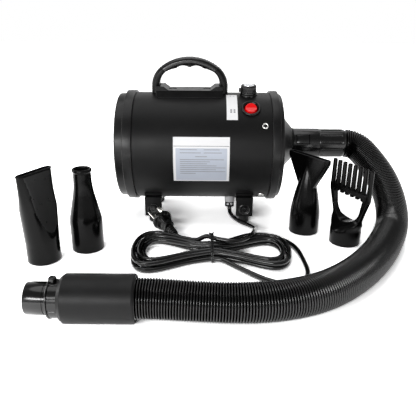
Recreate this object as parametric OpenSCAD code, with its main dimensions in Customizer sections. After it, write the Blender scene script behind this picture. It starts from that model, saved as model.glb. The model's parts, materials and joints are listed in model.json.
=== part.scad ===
// Barrel pet dryer: a motor barrel on four feet, a ribbed hose, four loose nozzles and a mains lead.
// X runs along the barrel towards its outlet, Y towards its back and Z up from the floor.
// The origin is on the floor, at the middle of the floor space of everything but hose and lead.

/* [Barrel] */
// Outer radius of the steel barrel
barrel_r = 88; // [80:1:106]
// Length of the barrel that shows between the end caps
barrel_len = 218; // [182:1:264]
// Thickness of the barrel's sheet
barrel_wall = 1.2; // [0.8:0.1:2]
// Gap between the floor and the underside of the barrel
ground_gap = 32.5; // [27:0.5:39]
// How far the sheet reaches into each end cap
shell_insert = 10; // [6:1:12]

/* [End caps] */
// How far a cap's ring stands proud of the barrel
ring_proud = 3; // [2:0.5:5]
// Width of the intake cap's ring
intake_ring_w = 14.5; // [13:0.5:20]
// Width of the outlet cap's ring
outlet_ring_w = 12.5; // [12:0.5:17]
// Width of the stepped drum outside the intake ring
intake_drum_w = 13.5; // [10:0.5:16]
// Width of the stepped drum outside the outlet ring
outlet_drum_w = 6.5; // [6:0.5:10]
// Radius of the rounding on a drum's edge
drum_round = 4; // [2:0.5:5]
// Wall of the moulded caps
cap_wall = 3; // [2:0.5:4]
// Radius of the air opening in the intake cap
intake_r = 70; // [58:1:76]
// Width of a slot in the intake grille
grille_slot = 3.4; // [2.5:0.1:3.8]
// Thickness of the filter pad
filter_t = 8; // [5:0.5:9]

/* [Outlet and hose connector] */
// Height of the outlet above the barrel's axis
outlet_rise = 5; // [0:0.5:8]
// Radius of the outlet neck
neck_r = 25.6; // [24:0.2:31]
// Radius of the spigot that the connector slides over
outlet_spigot_r = 21.5; // [19:0.1:22.5]
// Length of that spigot
outlet_spigot_len = 25; // [20:1:30]
// Wall of the outlet spigot
spigot_wall = 2.5; // [2:0.1:3]
// Outer radius of the connector
connector_r = 24.7; // [24.2:0.1:29]
// Length of the connector
connector_len = 43; // [36:0.5:50]
// Outer radius of the fluted cuff
cuff_r = 23.75; // [23:0.25:28]
// Length of the fluted cuff
cuff_len = 45.5; // [38:0.5:54]
// Number of flutes around the cuff
flutes = 12; // [8:1:16]

/* [Hose] */
// Outer radius of the hose over its ribs
hose_r = 23.75; // [20:0.25:24]
// Depth of the groove between ribs
rib_depth = 2.2; // [1:0.1:3]
// Radius of the hose's bore
hose_bore_r = 18.6; // [15:0.2:19]
// Outer radius of the plain end inside the cuff
hose_neck_r = 20.4; // [19.4:0.1:20.4]

/* [Hose handle] */
// Outer radius of the grip sleeve
sleeve_r = 28.4; // [27:0.1:34]
// Length of the grip sleeve
sleeve_len = 84; // [72:0.5:95]
// Outer radius of the ribbed collar
collar_r = 23; // [21.5:0.5:26]
// Length of the ribbed collar that shows
collar_len = 13.2; // [11:0.2:16]
// Outer radius of the tip that the nozzles push on to
tip_r = 19; // [15.5:0.1:19.2]
// Length of the tip that shows
tip_len = 25.8; // [22:0.2:31]

/* [Carrying handle] */
// Length of the handle's base plate
base_len = 107; // [90:1:120]
// Depth of the base plate, front to back
base_depth = 46; // [38:1:54]
// Rise of the base plate above the barrel
base_rise = 6.5; // [5:0.5:8]
// Extra height of the base plate's ends
base_end_rise = 6; // [4:0.5:8]
// Distance from the middle of the handle to the centre line of a leg
leg_reach = 55; // [50:0.2:62]
// Thickness of a leg, seen from the front
leg_t = 14; // [11:0.2:15]
// Thickness of the grip over its finger waves
grip_t = 14.5; // [13.5:0.1:17]
// Depth of grip and legs, front to back
grip_depth = 22; // [18:0.5:26]

/* [Controls] */
// Radius of the speed knob
knob_r = 12.5; // [10.5:0.5:15]
// Height of the speed knob
knob_h = 13.5; // [11:0.5:16]
// Radius of the switch's bezel
bezel_r = 15.3; // [14.5:0.1:18]
// Radius of the red rocker
rocker_r = 9.2; // [8:0.1:11]

/* [Feet] */
// Width of a foot along the barrel
foot_w = 28; // [24:1:33]
// Distance from the barrel's axis to a foot's outer face
foot_reach = 60; // [54:1:66]
// Thickness of the bracket's sheet
bracket_t = 3; // [2:0.5:4]
// Height of a foot's thick rubber block
block_h = 20; // [16:1:22]

/* [Nozzles] */
// Radius of a nozzle's base
nozzle_r = 23.5; // [22:0.1:28]
// Wall of a nozzle
nozzle_wall = 2.2; // [1.8:0.1:2.8]
// Height of the flat nozzle
flat_h = 131; // [110:1:157]
// Width of the flat nozzle's mouth
flat_w = 60; // [50:1:70]
// Height of the round nozzle
round_h = 124; // [105:1:148]
// Radius of the round nozzle's mouth
round_mouth_r = 12.4; // [10:0.2:15]
// Height of the fan nozzle
fan_h = 127; // [112:1:150]
// Width of the fan nozzle's mouth
fan_w = 82; // [70:1:96]
// Height of the comb nozzle
comb_h = 124.5; // [112:0.5:146]
// Number of the comb nozzle's teeth
comb_teeth = 8; // [5:1:8]

/* [Mains lead] */
// Diameter of the mains lead
cord_d = 7; // [5:0.1:7.2]

/* [Hidden] */
$fn = 96;

// Gaps between pieces: seat between fixed pieces, slip between pieces that move, run in bearings.
seat = 0.2;
slip = 0.3;
run = 0.05;
fine = 0.01;

// Barrel and caps.
axis_z = ground_gap + barrel_r;
half_len = barrel_len / 2;
shell_in_r = barrel_r - barrel_wall;
ring_r = barrel_r + ring_proud;
drum_r = barrel_r - 2;
cap_in_r = drum_r - cap_wall;
cap_step = shell_insert + 2 * seat;
intake_end = intake_ring_w + intake_drum_w;
outlet_end = outlet_ring_w + outlet_drum_w;
grille_t = 3;
grille_out = intake_end - cap_wall - seat;
filter_out = grille_out - grille_t - seat;
grille_pitch = 8;
grille_rows = floor((intake_r - 6) / grille_pitch);
grille_margin = 5;
cap_screw_back = 7;
cap_screw_r = 1.7;

// Outlet.
outlet_z = axis_z + outlet_rise;
flare_base_r = 54;
flare_bend = [7.5, 0.58];
outlet_neck_x = half_len + outlet_end + seat;
neck_x = half_len + 42.5;
flare_len = neck_x - outlet_neck_x;
neck_groove_x = neck_x - 2.3;
spigot_bore_r = outlet_spigot_r - spigot_wall;

// Connector, cuff and the hose's plain end.
connector_x = neck_x + slip;
connector_end = connector_x + connector_len;
connector_bore_r = outlet_spigot_r + slip;
connector_stop = connector_x + outlet_spigot_len + 2;
cuff_spigot = 3;
cuff_end = connector_end + cuff_len;
cuff_bore_r = hose_neck_r + seat;
flute_r = 1.2;
tab_len = 20;
tab_w = 14;
tab_angle = 28;
tab_x = connector_x + 5;
tab_slot = 0.9;

// Hose handle, lying along X on the floor.
handle_y = -340;
handle_z = sleeve_r;
sleeve_x = -154.5;
sleeve_bore_r = hose_r + slip;
sleeve_bore_len = 54;
collar_tail_r = 20.6;
collar_tail_len = 18;
tip_wall = 2.5;
latch_r = 4.8;
latch_x = sleeve_x - collar_len / 2 - 1.4;
latch_top = 27.6;
latch_low = 20.9;

// Carrying handle.
carry_x = -21.3;
carry_top = 265.5;
base_top = axis_z + barrel_r + base_rise;
base_skirt = 9;
base_end_len = 12;
base_ramp = 8;
base_pocket = [12, 9, 3];
leg_low = 205.5;
arch_out = leg_reach + leg_t / 2;
arch_in = leg_reach - leg_t / 2;
// A flat arc over the grip runs into a tighter one over each leg, and the seams lie where they meet.
top_arc_r = 77;
top_arc_z = carry_top - top_arc_r;
seam_way = [0.6, 0.8];
leg_arc_x = arch_out * 0.363;
leg_arc_z = top_arc_z + leg_arc_x * seam_way[1] / seam_way[0];
leg_arc_r = arch_out - leg_arc_x;
leg_in_r = 23.6;
leg_in_z = leg_arc_z + 4;
core_r = 3.5;
core_arc_r = top_arc_r - 6;
core_reach = 5;
wave_r = 17;
wave_x = 10.3;
wave_top = carry_top - grip_t;
nib_low = wave_top - 2.5;
outer_wave_r = 45;
carry_screw_x = 28;
carry_screw_r = 2.2;

// Controls.
knob_x = 73.7;
knob_angle = 82;
collar_top = barrel_r + 2.2;
collar_out_r = 14.2;
knob_low = collar_top + slip;
knob_grooves = 20;
knob_skirt = 3;
shaft_r = 3;
pot_r = 8;
board_low = 66;
board_t = 1.6;
pot_low = board_low + board_t + seat;
board_size = [34, 28];
rocker_x = 75.7;
rocker_angle = 54;
rocker_body_r = 12.9;
bezel_h = 3;
rocker_mid = barrel_r - 2;
rocker_ball_r = rocker_r + 0.9;
rocker_tilt = 7;

// Feet.
foot_x = [-81.2, 70.2];
block_low = 12;
block_top = block_low + block_h;
block_y = foot_reach - bracket_t - seat;
block_depth = 20;
block_w = foot_w - 4;
pad_r = 9;
foot_bolt_z = 26.5;
foot_bolt_r = 2.6;
saddle_angle = -62;

// Motor, from the intake side to the outlet.
case_r = 66;
case_x = -66;
case_len = 46;
case_wall = 1.5;
eye_r = 24;
frame_x = case_x + case_len + seat;
frame_t = 6;
motor_r = 46;
yoke_in_r = 39;
pole_w = 24;
coil_w = 6;
coil_h = 8;
core_x = 0;
core_len = 34;
bore_r = 21;
arm_r = 48;
yoke_x = 50;
yoke_t = 8;
bearing_r = 11;
bearing_w = 7;
axle_r = 4;
armature_r = bore_r - 0.6;
impeller_r = 60;
impeller_w = 9;
impeller_x = [-61, -36];
diffuser_x = -45;
mount_t = 8;
heater_x = 76;
heater_r = 48;
heater_len = 30;
ring_count = 4;
heater_wire = 1.5;

// Cable gland.
gland_x = 46.6;
gland_y = -31;
gland_top = 52;
nut_r = 8.9;
nut_low = 31;
clamp_r = 8;
clamp_low = 22;
cord_r = cord_d / 2;
gland_screw_x = 3;
clamp_flat = 7.2;

// The floor space of everything but hose and lead gives the origin.
flat_at = [-224.2, -189.9];
round_at = [-170.1, -152.1];
fan_at = [166.1, -83.7];
comb_at = [222.4, -125.6];
floor_x = [min(flat_at[0] - nozzle_r, sleeve_x - collar_len - tip_len), max(comb_at[0] + nozzle_r, cuff_end)];
floor_y = [handle_y - sleeve_r, ring_r];
origin_x = (floor_x[0] + floor_x[1]) / 2;
origin_y = (floor_y[0] + floor_y[1]) / 2;

module laid() { translate([-origin_x, -origin_y, 0]) children(); }
module along(x, z = axis_z) { translate([x, 0, z]) rotate([0, 90, 0]) children(); }
module on_barrel(x, a) { translate([x, 0, axis_z]) rotate([90 - a, 0, 0]) children(); }
module tube_x(x0, x1, r_out, r_in, z = axis_z) {
    along(x0, z) difference() {
        cylinder(h = x1 - x0, r = r_out);
        translate([0, 0, -1]) cylinder(h = x1 - x0 + 2, r = r_in);
    }
}
module rod_x(x0, x1, r, z = axis_z) { along(x0, z) cylinder(h = x1 - x0, r = r); }

// --- Barrel, caps and filter ---
module shell_hole(x, a, r) { on_barrel(x, a) translate([0, 0, 70]) cylinder(h = 40, r = r); }
cap_screw_angles = [150, 210, 270];
washer_angles = [33.5, -51.2, 146.5, 231.2];
washer_x = 97;
washer_r = 5;
module cap_screw_places() {
    for (a = cap_screw_angles, side = [-1, 1])
        on_barrel(side * (half_len + cap_screw_back), a) children();
}
module washer_places() { for (a = washer_angles) on_barrel(washer_x, a) children(); }

module barrel_shell() color("#202123") laid() difference() {
    tube_x(-half_len - shell_insert, half_len + shell_insert, barrel_r, shell_in_r);
    shell_hole(knob_x, knob_angle, 5);
    shell_hole(rocker_x, rocker_angle, rocker_body_r + seat);
    translate([gland_x, gland_y, 20]) cylinder(h = 40, r = 6.6);
    for (s = [-1, 1]) translate([carry_x + s * carry_screw_x, 0, axis_z])
        cylinder(h = 100, r = carry_screw_r + seat);
    for (x = foot_x, a = [saddle_angle, 180 - saddle_angle]) shell_hole(x, a, 2.2);
    cap_screw_places() translate([0, 0, 70]) cylinder(h = 40, r = cap_screw_r + seat);
    washer_places() translate([0, 0, 70]) cylinder(h = 40, r = cap_screw_r + seat);
}

module cap_outline(ring_w, end) difference() {
    union() {
        square([ring_r, ring_w]);
        square([drum_r, end - drum_round]);
        square([drum_r - drum_round, end]);
        translate([drum_r - drum_round, end - drum_round]) circle(drum_round);
    }
    translate([-1, -1]) square([cap_in_r + 1, end - cap_wall + 1]);
    translate([-1, -1]) square([barrel_r + seat + 1, cap_step + 1]);
}
module at_intake(x) { translate([-half_len - x, 0, axis_z]) rotate([0, -90, 0]) children(); }

module intake_cap() color("#232426") laid() difference() {
    at_intake(0) difference() {
        rotate_extrude() cap_outline(intake_ring_w, intake_end);
        cylinder(h = intake_end + 1, r = intake_r);
    }
    cap_screw_places() translate([0, 0, 70]) cylinder(h = 40, r = cap_screw_r + seat);
}

module intake_grille() color("#1b1b1c") laid() at_intake(grille_out - grille_t) difference() {
    cylinder(h = grille_t, r = cap_in_r - seat);
    for (i = [-grille_rows : grille_rows]) {
        slot_half = sqrt(pow(intake_r - grille_margin, 2) - pow(i * grille_pitch, 2));
        translate([-slot_half, i * grille_pitch - grille_slot / 2, -1])
            cube([2 * slot_half, grille_slot, grille_t + 2]);
    }
}

module filter_pad() color("#3a3b3d") laid() at_intake(filter_out - filter_t)
    cylinder(h = filter_t, r = cap_in_r - seat);

module intake_foam() color("#4a4a4c") laid()
    tube_x(-half_len + 3, -half_len + 24, shell_in_r - seat, shell_in_r - 14);

flange_seat_r = 40;
flange_t = 0.8;
module outlet_cap() color("#232426") laid() difference() {
    along(half_len) rotate_extrude() cap_outline(outlet_ring_w, outlet_end);
    rod_x(half_len, outlet_neck_x + 1, flange_seat_r + seat, outlet_z);
    cap_screw_places() translate([0, 0, 70]) cylinder(h = 40, r = cap_screw_r + seat);
}

flare_steps = 24;
// The flare's outline as [radius, length], from the cap's face to the neck.
function flare_point(t) = (1 - t) * (1 - t) * [flare_base_r, flange_t]
    + 2 * t * (1 - t) * [neck_r + flare_bend[0], flare_bend[1] * flare_len] + t * t * [neck_r, flare_len];
// The neck's flange has a back lip that sits in the cap's hole.
module outlet_neck() color("#232426") laid() difference() {
    union() {
        along(outlet_neck_x, outlet_z) rotate_extrude() polygon(concat([[0, 0], [flare_base_r, 0]],
            [for (i = [0 : flare_steps]) flare_point(i / flare_steps)], [[0, flare_len]]));
        rod_x(outlet_neck_x - cap_wall, outlet_neck_x + 1, flange_seat_r, outlet_z);
        rod_x(neck_x - 1, neck_x + outlet_spigot_len, outlet_spigot_r, outlet_z);
    }
    along(outlet_neck_x - cap_wall - fine, outlet_z) cylinder(h = 18, r1 = 38, r2 = spigot_bore_r);
    rod_x(half_len, neck_x + outlet_spigot_len + 1, spigot_bore_r, outlet_z);
    tube_x(neck_groove_x, neck_groove_x + 0.8, neck_r + 1, neck_r - 0.6, outlet_z);
}

module case_screws() color("#6b6c6e") laid() {
    for (s = [-1, 1]) translate([carry_x + s * carry_screw_x, 0, 0]) {
        translate([0, 0, base_top - base_pocket[2] + seat]) cylinder(h = 2.2, r = 4);
        translate([0, 0, axis_z + barrel_r - 12]) cylinder(h = 12 + base_rise - 1.5, r = carry_screw_r);
    }
    cap_screw_places() {
        translate([0, 0, ring_r + seat]) cylinder(h = 1.6, r = 3.2);
        translate([0, 0, shell_in_r - 4]) cylinder(h = ring_r - shell_in_r + 5, r = cap_screw_r);
    }
    washer_places() {
        translate([0, 0, barrel_r + 0.6]) cylinder(h = 1.2, r1 = cap_screw_r, r2 = 2.9);
        translate([0, 0, shell_in_r - 4]) cylinder(h = barrel_r - shell_in_r + 5, r = cap_screw_r);
    }
}

module cup_washers() color("#b9b9b6") laid() washer_places() difference() {
    translate([0, 0, barrel_r + seat]) cylinder(h = 1.7, r1 = washer_r, r2 = washer_r - 1);
    translate([0, 0, barrel_r + 0.5]) cylinder(h = 2, r1 = cap_screw_r + seat, r2 = 3.8);
    cylinder(h = 100, r = cap_screw_r + seat);
}

// --- Carrying handle ---
module barrel_room() { rod_x(-200, 200, barrel_r + seat); }
module front_view(depth) {
    rotate([90, 0, 0]) translate([0, 0, -depth / 2]) linear_extrude(depth) children();
}
module side_view(w) { rotate([90, 0, 90]) translate([0, 0, -w / 2]) linear_extrude(w) children(); }

module base_end() {
    x0 = base_len / 2;
    front_view(base_depth) polygon([
        [x0, base_top - 8], [x0, base_top + base_end_rise], [x0 - base_end_len, base_top + base_end_rise],
        [x0 - base_end_len - base_ramp, base_top], [x0 - base_end_len - base_ramp, base_top - 8]
    ]);
}

module handle_base() color("#1a1a1b") laid() difference() {
    translate([carry_x, 0, 0]) difference() {
        union() {
            side_view(base_len) polygon([
                [-base_depth / 2 - base_skirt, axis_z + barrel_r * 0.86],
                [base_depth / 2 + base_skirt, axis_z + barrel_r * 0.86],
                [base_depth / 2, base_top], [-base_depth / 2, base_top]
            ]);
            base_end();
            mirror([1, 0, 0]) base_end();
        }
        for (s = [-1, 1]) {
            translate([s * (arch_out + arch_in) / 2, 0, base_top])
                cube([leg_t + 2 * seat, grip_depth + 2 * seat, 40], center = true);
            translate([s * carry_screw_x, 0, base_top - base_pocket[2] / 2 + 0.5])
                cube(base_pocket + [0, 0, 1], center = true);
            translate([s * carry_screw_x, 0, axis_z]) cylinder(h = 120, r = carry_screw_r + seat);
        }
    }
    barrel_room();
}

module between_seams(grow) {
    polygon([[0, top_arc_z - grow / seam_way[0]], [0, top_arc_z - grow / seam_way[0]] + 140 * seam_way,
        [0, top_arc_z - grow / seam_way[0]] + 140 * [-seam_way[0], seam_way[1]]]);
}
module grip_core(r, reach) {
    translate([0, 0, top_arc_z]) rotate([90, 0, 0]) intersection() {
        rotate_extrude() translate([core_arc_r, 0]) circle(r);
        rotate([0, 0, 90]) translate([0, 0, -10]) linear_extrude(20)
            polygon([[0, 0], [140, -140 * tan(37 + reach)], [140, 140 * tan(37 + reach)]]);
    }
}

module handle_legs() color("#1a1a1b") laid() {
    difference() {
        translate([carry_x, 0, 0]) front_view(grip_depth) difference() {
            union() {
                translate([-arch_out, leg_low]) square([2 * arch_out, leg_arc_z - leg_low]);
                for (s = [-1, 1]) translate([s * leg_arc_x, leg_arc_z]) circle(leg_arc_r);
            }
            translate([-arch_in, 0]) square([2 * arch_in, leg_in_z]);
            translate([leg_in_r - arch_in, 0]) square([2 * (arch_in - leg_in_r), leg_in_z + leg_in_r]);
            for (s = [-1, 1]) translate([s * (arch_in - leg_in_r), leg_in_z]) circle(leg_in_r);
            between_seams(seat);
            translate([-100, leg_low - 100]) square([200, 100]);
        }
        barrel_room();
    }
    translate([carry_x, 0, 0]) grip_core(core_r, core_reach);
}

// The underside has two deep finger waves at the middle and a shallow one beside each seam.
grip_low = [39.5, 240.6 - 265.5 + carry_top];
nib_side = [22.5, nib_low - 1.9];
function arc_centre(a, b, r) = let (way = b - a, half = norm(way) / 2, down = [way[1], -way[0]] / norm(way))
    (a + b) / 2 + sqrt(r * r - half * half) * down;
outer_wave = arc_centre(nib_side, grip_low, outer_wave_r);
module handle_grip() color("#161617") laid() translate([carry_x, 0, 0]) difference() {
    front_view(grip_depth) difference() {
        intersection() {
            translate([0, top_arc_z]) circle(top_arc_r);
            between_seams(0);
            polygon([
                [-60, carry_top + 5], [-grip_low[0] - 1, grip_low[1]], [-nib_side[0], nib_side[1]],
                [-2 * wave_x + 1, nib_low - 0.5], [0, nib_low], [2 * wave_x - 1, nib_low - 0.5],
                nib_side, [grip_low[0] + 1, grip_low[1]], [60, carry_top + 5]
            ]);
        }
        for (s = [-1, 1]) {
            translate([s * wave_x, wave_top - wave_r]) circle(wave_r);
            translate([s * outer_wave[0], outer_wave[1]]) circle(outer_wave_r);
        }
    }
    grip_core(core_r + seat, 8);
}

// --- Labels ---
module wedge(a0, a1) {
    translate([0, 0, axis_z]) rotate([90, 0, 90]) translate([0, 0, -200]) linear_extrude(400)
        polygon([[0, 0], 200 * [-cos(a0), sin(a0)], 200 * [-cos(a1), sin(a1)]]);
}
module patch(x0, x1, a0, a1) {
    intersection() {
        tube_x(x0, x1, barrel_r + 0.4, barrel_r + 0.05);
        wedge(a0, a1);
    }
}
module rating_plate() color("#dfe2e8") laid() patch(-44.7, 42.5, -25.5, 22);
module scale_label() color("#ececec") laid() patch(37.7, 54.7, 40, 79.4);

// --- Speed control ---
module at_knob() { on_barrel(knob_x, knob_angle) children(); }

module knob_collar() color("#1c1c1d") laid() difference() {
    at_knob() translate([0, 0, barrel_r - 3]) cylinder(h = collar_top - barrel_r + 3, r = collar_out_r);
    barrel_room();
    at_knob() cylinder(h = 120, r = 5);
}

module potentiometer() color("#8c8f94") laid() at_knob() difference() {
    union() {
        translate([0, 0, pot_low]) cylinder(h = 17.6, r = pot_r);
        translate([0, 0, pot_low + 17]) cylinder(h = collar_top - pot_low - 17.6, r = 4.8);
    }
    translate([0, 0, pot_low + 6]) cylinder(h = 40, r = shaft_r + run);
}

module knob_shaft() color("#b0b2b5") laid() at_knob()
    translate([0, 0, pot_low + 6 + slip]) cylinder(h = knob_low + 9 - pot_low - 6 - slip, r = shaft_r);

module speed_knob() color("#18181a") laid() at_knob() translate([0, 0, knob_low]) difference() {
    union() {
        cylinder(h = knob_skirt, r = knob_r);
        translate([0, 0, knob_skirt]) cylinder(h = knob_h - knob_skirt, r1 = knob_r - 0.6, r2 = knob_r - 1.6);
        translate([-knob_r - 3.4, -2.2, 2]) cube([8, 4.4, 6]);
    }
    for (i = [0 : knob_grooves - 1]) rotate([0, 0, (i + 0.5) * 360 / knob_grooves])
        translate([knob_r - 0.4, 0, knob_skirt]) cylinder(h = knob_h, r = 1.1);
    translate([0, 0, -1]) cylinder(h = 10.2, r = shaft_r + run);
    translate([0, 0, knob_h - 1.5]) cylinder(h = 3, r = 7.4);
}

module knob_cap() color("#c3c5c8") laid() at_knob() translate([0, 0, knob_low + knob_h - 1.3])
    cylinder(h = 1.8, r = 7.2);

module speed_board() color("#2e6b45") laid() at_knob() {
    translate([-board_size[0] / 2, -board_size[1] / 2, board_low])
        cube([board_size[0], board_size[1], board_t]);
    for (x = [-1, 1], y = [-1, 1]) translate([x * 13.5, y * 10.5, board_low + 1]) cylinder(h = 18.6, r = 1.8);
    translate([-14, -10, board_low - 10]) cube([9, 20, 10.5]);
    translate([4, -5, board_low - 12]) cube([11, 8, 12.5]);
    translate([0, 8, board_low - 8]) cylinder(h = 8.5, r = 3.5);
}

// --- Switch ---
module at_rocker() { on_barrel(rocker_x, rocker_angle) children(); }

module switch_housing() color("#17171a") laid() difference() {
    union() {
        difference() {
            at_rocker() translate([0, 0, barrel_r - 4]) cylinder(h = bezel_h + 4, r = bezel_r);
            barrel_room();
        }
        at_rocker() translate([0, 0, 64]) cylinder(h = barrel_r + bezel_h - 65, r = rocker_body_r);
    }
    at_rocker() translate([0, 0, 73]) cylinder(h = 40, r = rocker_ball_r + slip);
}

module switch_rocker() color("#c3161c") laid() at_rocker() translate([0, 0, rocker_mid])
    rotate([rocker_tilt, 0, 0]) intersection() {
        sphere(rocker_ball_r);
        side_view(30) polygon([[-12, -5.5], [12, -5.5], [12, 6.6], [0, 5], [-12, 6.6]]);
    }

// --- Feet ---
module at_feet() {
    for (x = foot_x, s = [0, 1]) mirror([0, s, 0]) translate([x, 0, 0]) children();
}

module foot_brackets() color("#141415") laid() difference() {
    at_feet() {
        side_view(foot_w) difference() {
            union() {
                translate([-foot_reach, 14]) square([bracket_t, 32.4]);
                translate([-foot_reach, 43.4]) square([20, bracket_t]);
                intersection() {
                    translate([0, axis_z]) circle(barrel_r + seat + bracket_t);
                    polygon([[0, axis_z], 120 * [-cos(50), -sin(50)] + [0, axis_z],
                        120 * [-cos(70), -sin(70)] + [0, axis_z]]);
                }
            }
            translate([0, axis_z]) circle(barrel_r + seat);
        }
    }
    at_feet() translate([0, 0, foot_bolt_z]) rotate([90, 0, 0]) cylinder(h = 90, r = foot_bolt_r + seat);
    at_feet() shell_hole(0, saddle_angle, 2.2);
}

module rubber_feet() color("#0f0f10") laid() at_feet() difference() {
    union() {
        translate([-block_w / 2, -block_y, block_low]) cube([block_w, block_depth, block_h]);
        translate([0, -block_y + pad_r + 0.5, 2]) cylinder(h = block_low, r = pad_r);
        translate([0, -block_y + pad_r + 0.5, 0]) cylinder(h = 2, r1 = pad_r - 2, r2 = pad_r);
    }
    translate([0, 0, foot_bolt_z]) rotate([90, 0, 0]) cylinder(h = 90, r = foot_bolt_r + seat);
}

module foot_bolts() color("#3c3d3f") laid() at_feet() {
    translate([0, -foot_reach - seat, foot_bolt_z]) rotate([90, 0, 0]) cylinder(h = 3, r = 5);
    translate([0, -block_y + block_depth + 5, foot_bolt_z]) rotate([90, 0, 0])
        cylinder(h = foot_reach - block_y + block_depth + 6, r = foot_bolt_r);
    translate([0, -block_y + block_depth + seat + 4, foot_bolt_z]) rotate([90, 0, 0])
        cylinder(h = 4, r = 4.8, $fn = 6);
    on_barrel(0, saddle_angle) {
        translate([0, 0, barrel_r + bracket_t + 2 * seat]) cylinder(h = 2.4, r = 4);
        translate([0, 0, barrel_r - 8]) cylinder(h = bracket_t + 9, r = 2);
    }
}

// --- Motor and fan ---
module front_mount() color("#2a2a2b") laid()
    tube_x(case_x + 4, case_x + 4 + mount_t, shell_in_r - seat, case_r + seat);

module rear_mount() color("#2a2a2b") laid() difference() {
    along(yoke_x + yoke_t + seat) {
        cylinder(h = mount_t, r = 24);
        intersection() {
            cylinder(h = mount_t, r = shell_in_r - seat);
            for (a = [60, 150, 300]) rotate([0, 0, a]) {
                translate([0, -7, 0]) cube([shell_in_r + 5, 14, mount_t]);
                translate([shell_in_r - 8, -13, 0]) cube([20, 26, mount_t]);
            }
        }
    }
    rod_x(yoke_x, yoke_x + yoke_t + mount_t + 1, 8);
}

module fan_case() color("#9a9da2") laid() {
    tube_x(case_x, case_x + case_len, case_r, case_r - case_wall);
    tube_x(case_x, case_x + case_wall, case_r, eye_r);
    tube_x(diffuser_x, diffuser_x + case_wall, case_r - case_wall + fine, eye_r);
}

module frame_windows(r, count, start) {
    for (i = [0 : count - 1]) rotate([0, 0, start + i * 360 / count]) translate([r, 0, -1])
        cylinder(h = 20, r = 10.5);
}

module motor_frame() color("#a9acb0") laid() difference() {
    union() {
        along(frame_x) difference() {
            cylinder(h = frame_t, r = case_r);
            frame_windows(51, 8, 22.5);
            frame_windows(29, 5, 18);
        }
        rod_x(frame_x, frame_x + bearing_w + 2, 15);
        for (s = [-1, 1]) translate([frame_x + 1, s * (arm_r + 2.5), axis_z]) translate([0, -2.5, -9])
            cube([yoke_x + yoke_t - frame_x - 1, 5, 18]);
        difference() {
            translate([yoke_x, -arm_r - 5, axis_z - 9]) cube([yoke_t, 2 * arm_r + 10, 18]);
        }
        rod_x(yoke_x, yoke_x + yoke_t, 16);
    }
    rod_x(frame_x - 1, frame_x + 4, axle_r + 0.6);
    rod_x(frame_x + 2, frame_x + bearing_w + 3, bearing_r + run);
    rod_x(yoke_x - 1, yoke_x + bearing_w - 1, bearing_r + run);
    rod_x(yoke_x, yoke_x + yoke_t + 1, axle_r + 0.6);
}

module stator_core() color("#7d8086") laid() along(core_x) linear_extrude(core_len) difference() {
    union() {
        difference() {
            circle(motor_r);
            circle(yoke_in_r);
        }
        intersection() {
            square([2 * motor_r - 4, pole_w], center = true);
            circle(motor_r - 1);
        }
        intersection() {
            circle(bore_r + 3);
            square([2 * bore_r + 8, 34], center = true);
        }
    }
    circle(bore_r);
}

module field_windings() color("#b06a35") laid() for (s = [-1, 1])
    translate([core_x - coil_w + 1, 0, axis_z + s * 30]) difference() {
        translate([0, -pole_w / 2 - coil_w, -coil_h / 2])
            cube([core_len + 2 * coil_w - 2, pole_w + 2 * coil_w, coil_h]);
        translate([coil_w - 1 - seat, -pole_w / 2 - seat, -6])
            cube([core_len + 2 * seat, pole_w + 2 * seat, 12]);
    }

module motor_bearings() color("#c9cbce") laid() {
    tube_x(frame_x + 2 + fine, frame_x + 2 + bearing_w, bearing_r, axle_r + run);
    tube_x(yoke_x - 1, yoke_x - 1 + bearing_w - fine, bearing_r, axle_r + run);
}

module brush_holders() color("#8a6f3c") laid() for (s = [-1, 1])
    translate([43, s * (arm_r + 13.2 - seat) / 2, axis_z])
        cube([8, arm_r - 13.2 - seat, 7], center = true);

module motor_shaft() color("#bfc2c6") laid() rod_x(case_x + 2.5, yoke_x + yoke_t + 6, axle_r);

module armature() color("#8f6b45") laid() {
    tube_x(core_x + 1, core_x + core_len - 1, armature_r, axle_r + run);
    tube_x(core_x - 6, core_x + 1, armature_r - 4, axle_r + run);
    tube_x(core_x + core_len - 1, core_x + core_len + 4, armature_r - 4, axle_r + run);
    tube_x(core_x + core_len + 4, core_x + core_len + 14, 13, axle_r + run);
}

module impellers() color("#a6a9ad") laid() for (x = impeller_x) along(x) difference() {
    union() {
        difference() {
            cylinder(h = 1.2, r = impeller_r);
            cylinder(h = 10, r = eye_r - 2, center = true);
        }
        translate([0, 0, impeller_w - 1.2]) cylinder(h = 1.2, r = impeller_r);
        cylinder(h = impeller_w, r = 8);
        for (i = [0 : 7]) rotate([0, 0, i * 45]) translate([18, -0.7, 0.6])
            cube([impeller_r - 18.6, 1.4, impeller_w - 1.2]);
    }
    translate([0, 0, -1]) cylinder(h = 20, r = axle_r + run);
}

module heater_frame() color("#c9bfa2") laid() {
    tube_x(half_len - 3, half_len + 3, shell_in_r - seat, shell_in_r - 7);
    for (a = [45, 135]) along(heater_x) rotate([0, 0, a]) {
        translate([-heater_r + heater_wire + seat, -1, 0])
            cube([2 * (heater_r - heater_wire - seat), 2, heater_len]);
        translate([-shell_in_r + 5, -1, heater_len - 1]) cube([2 * shell_in_r - 10, 2, 10]);
    }
}

module heater_rings() color("#9c8d7c") laid() for (i = [0 : ring_count - 1])
    along(heater_x + 4 + i * 7) rotate_extrude() translate([heater_r, 0]) circle(heater_wire);

// --- Cable gland ---
module cable_gland() color("#aeb0b2") laid() difference() {
    union() {
        difference() {
            translate([gland_x, gland_y, nut_low]) cylinder(h = 16, r = nut_r);
            barrel_room();
        }
        translate([gland_x, gland_y, nut_low]) cylinder(h = gland_top - nut_low, r = 6.4);
    }
    translate([gland_x, gland_y, 0]) cylinder(h = 100, r = cord_r + slip);
}

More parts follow.
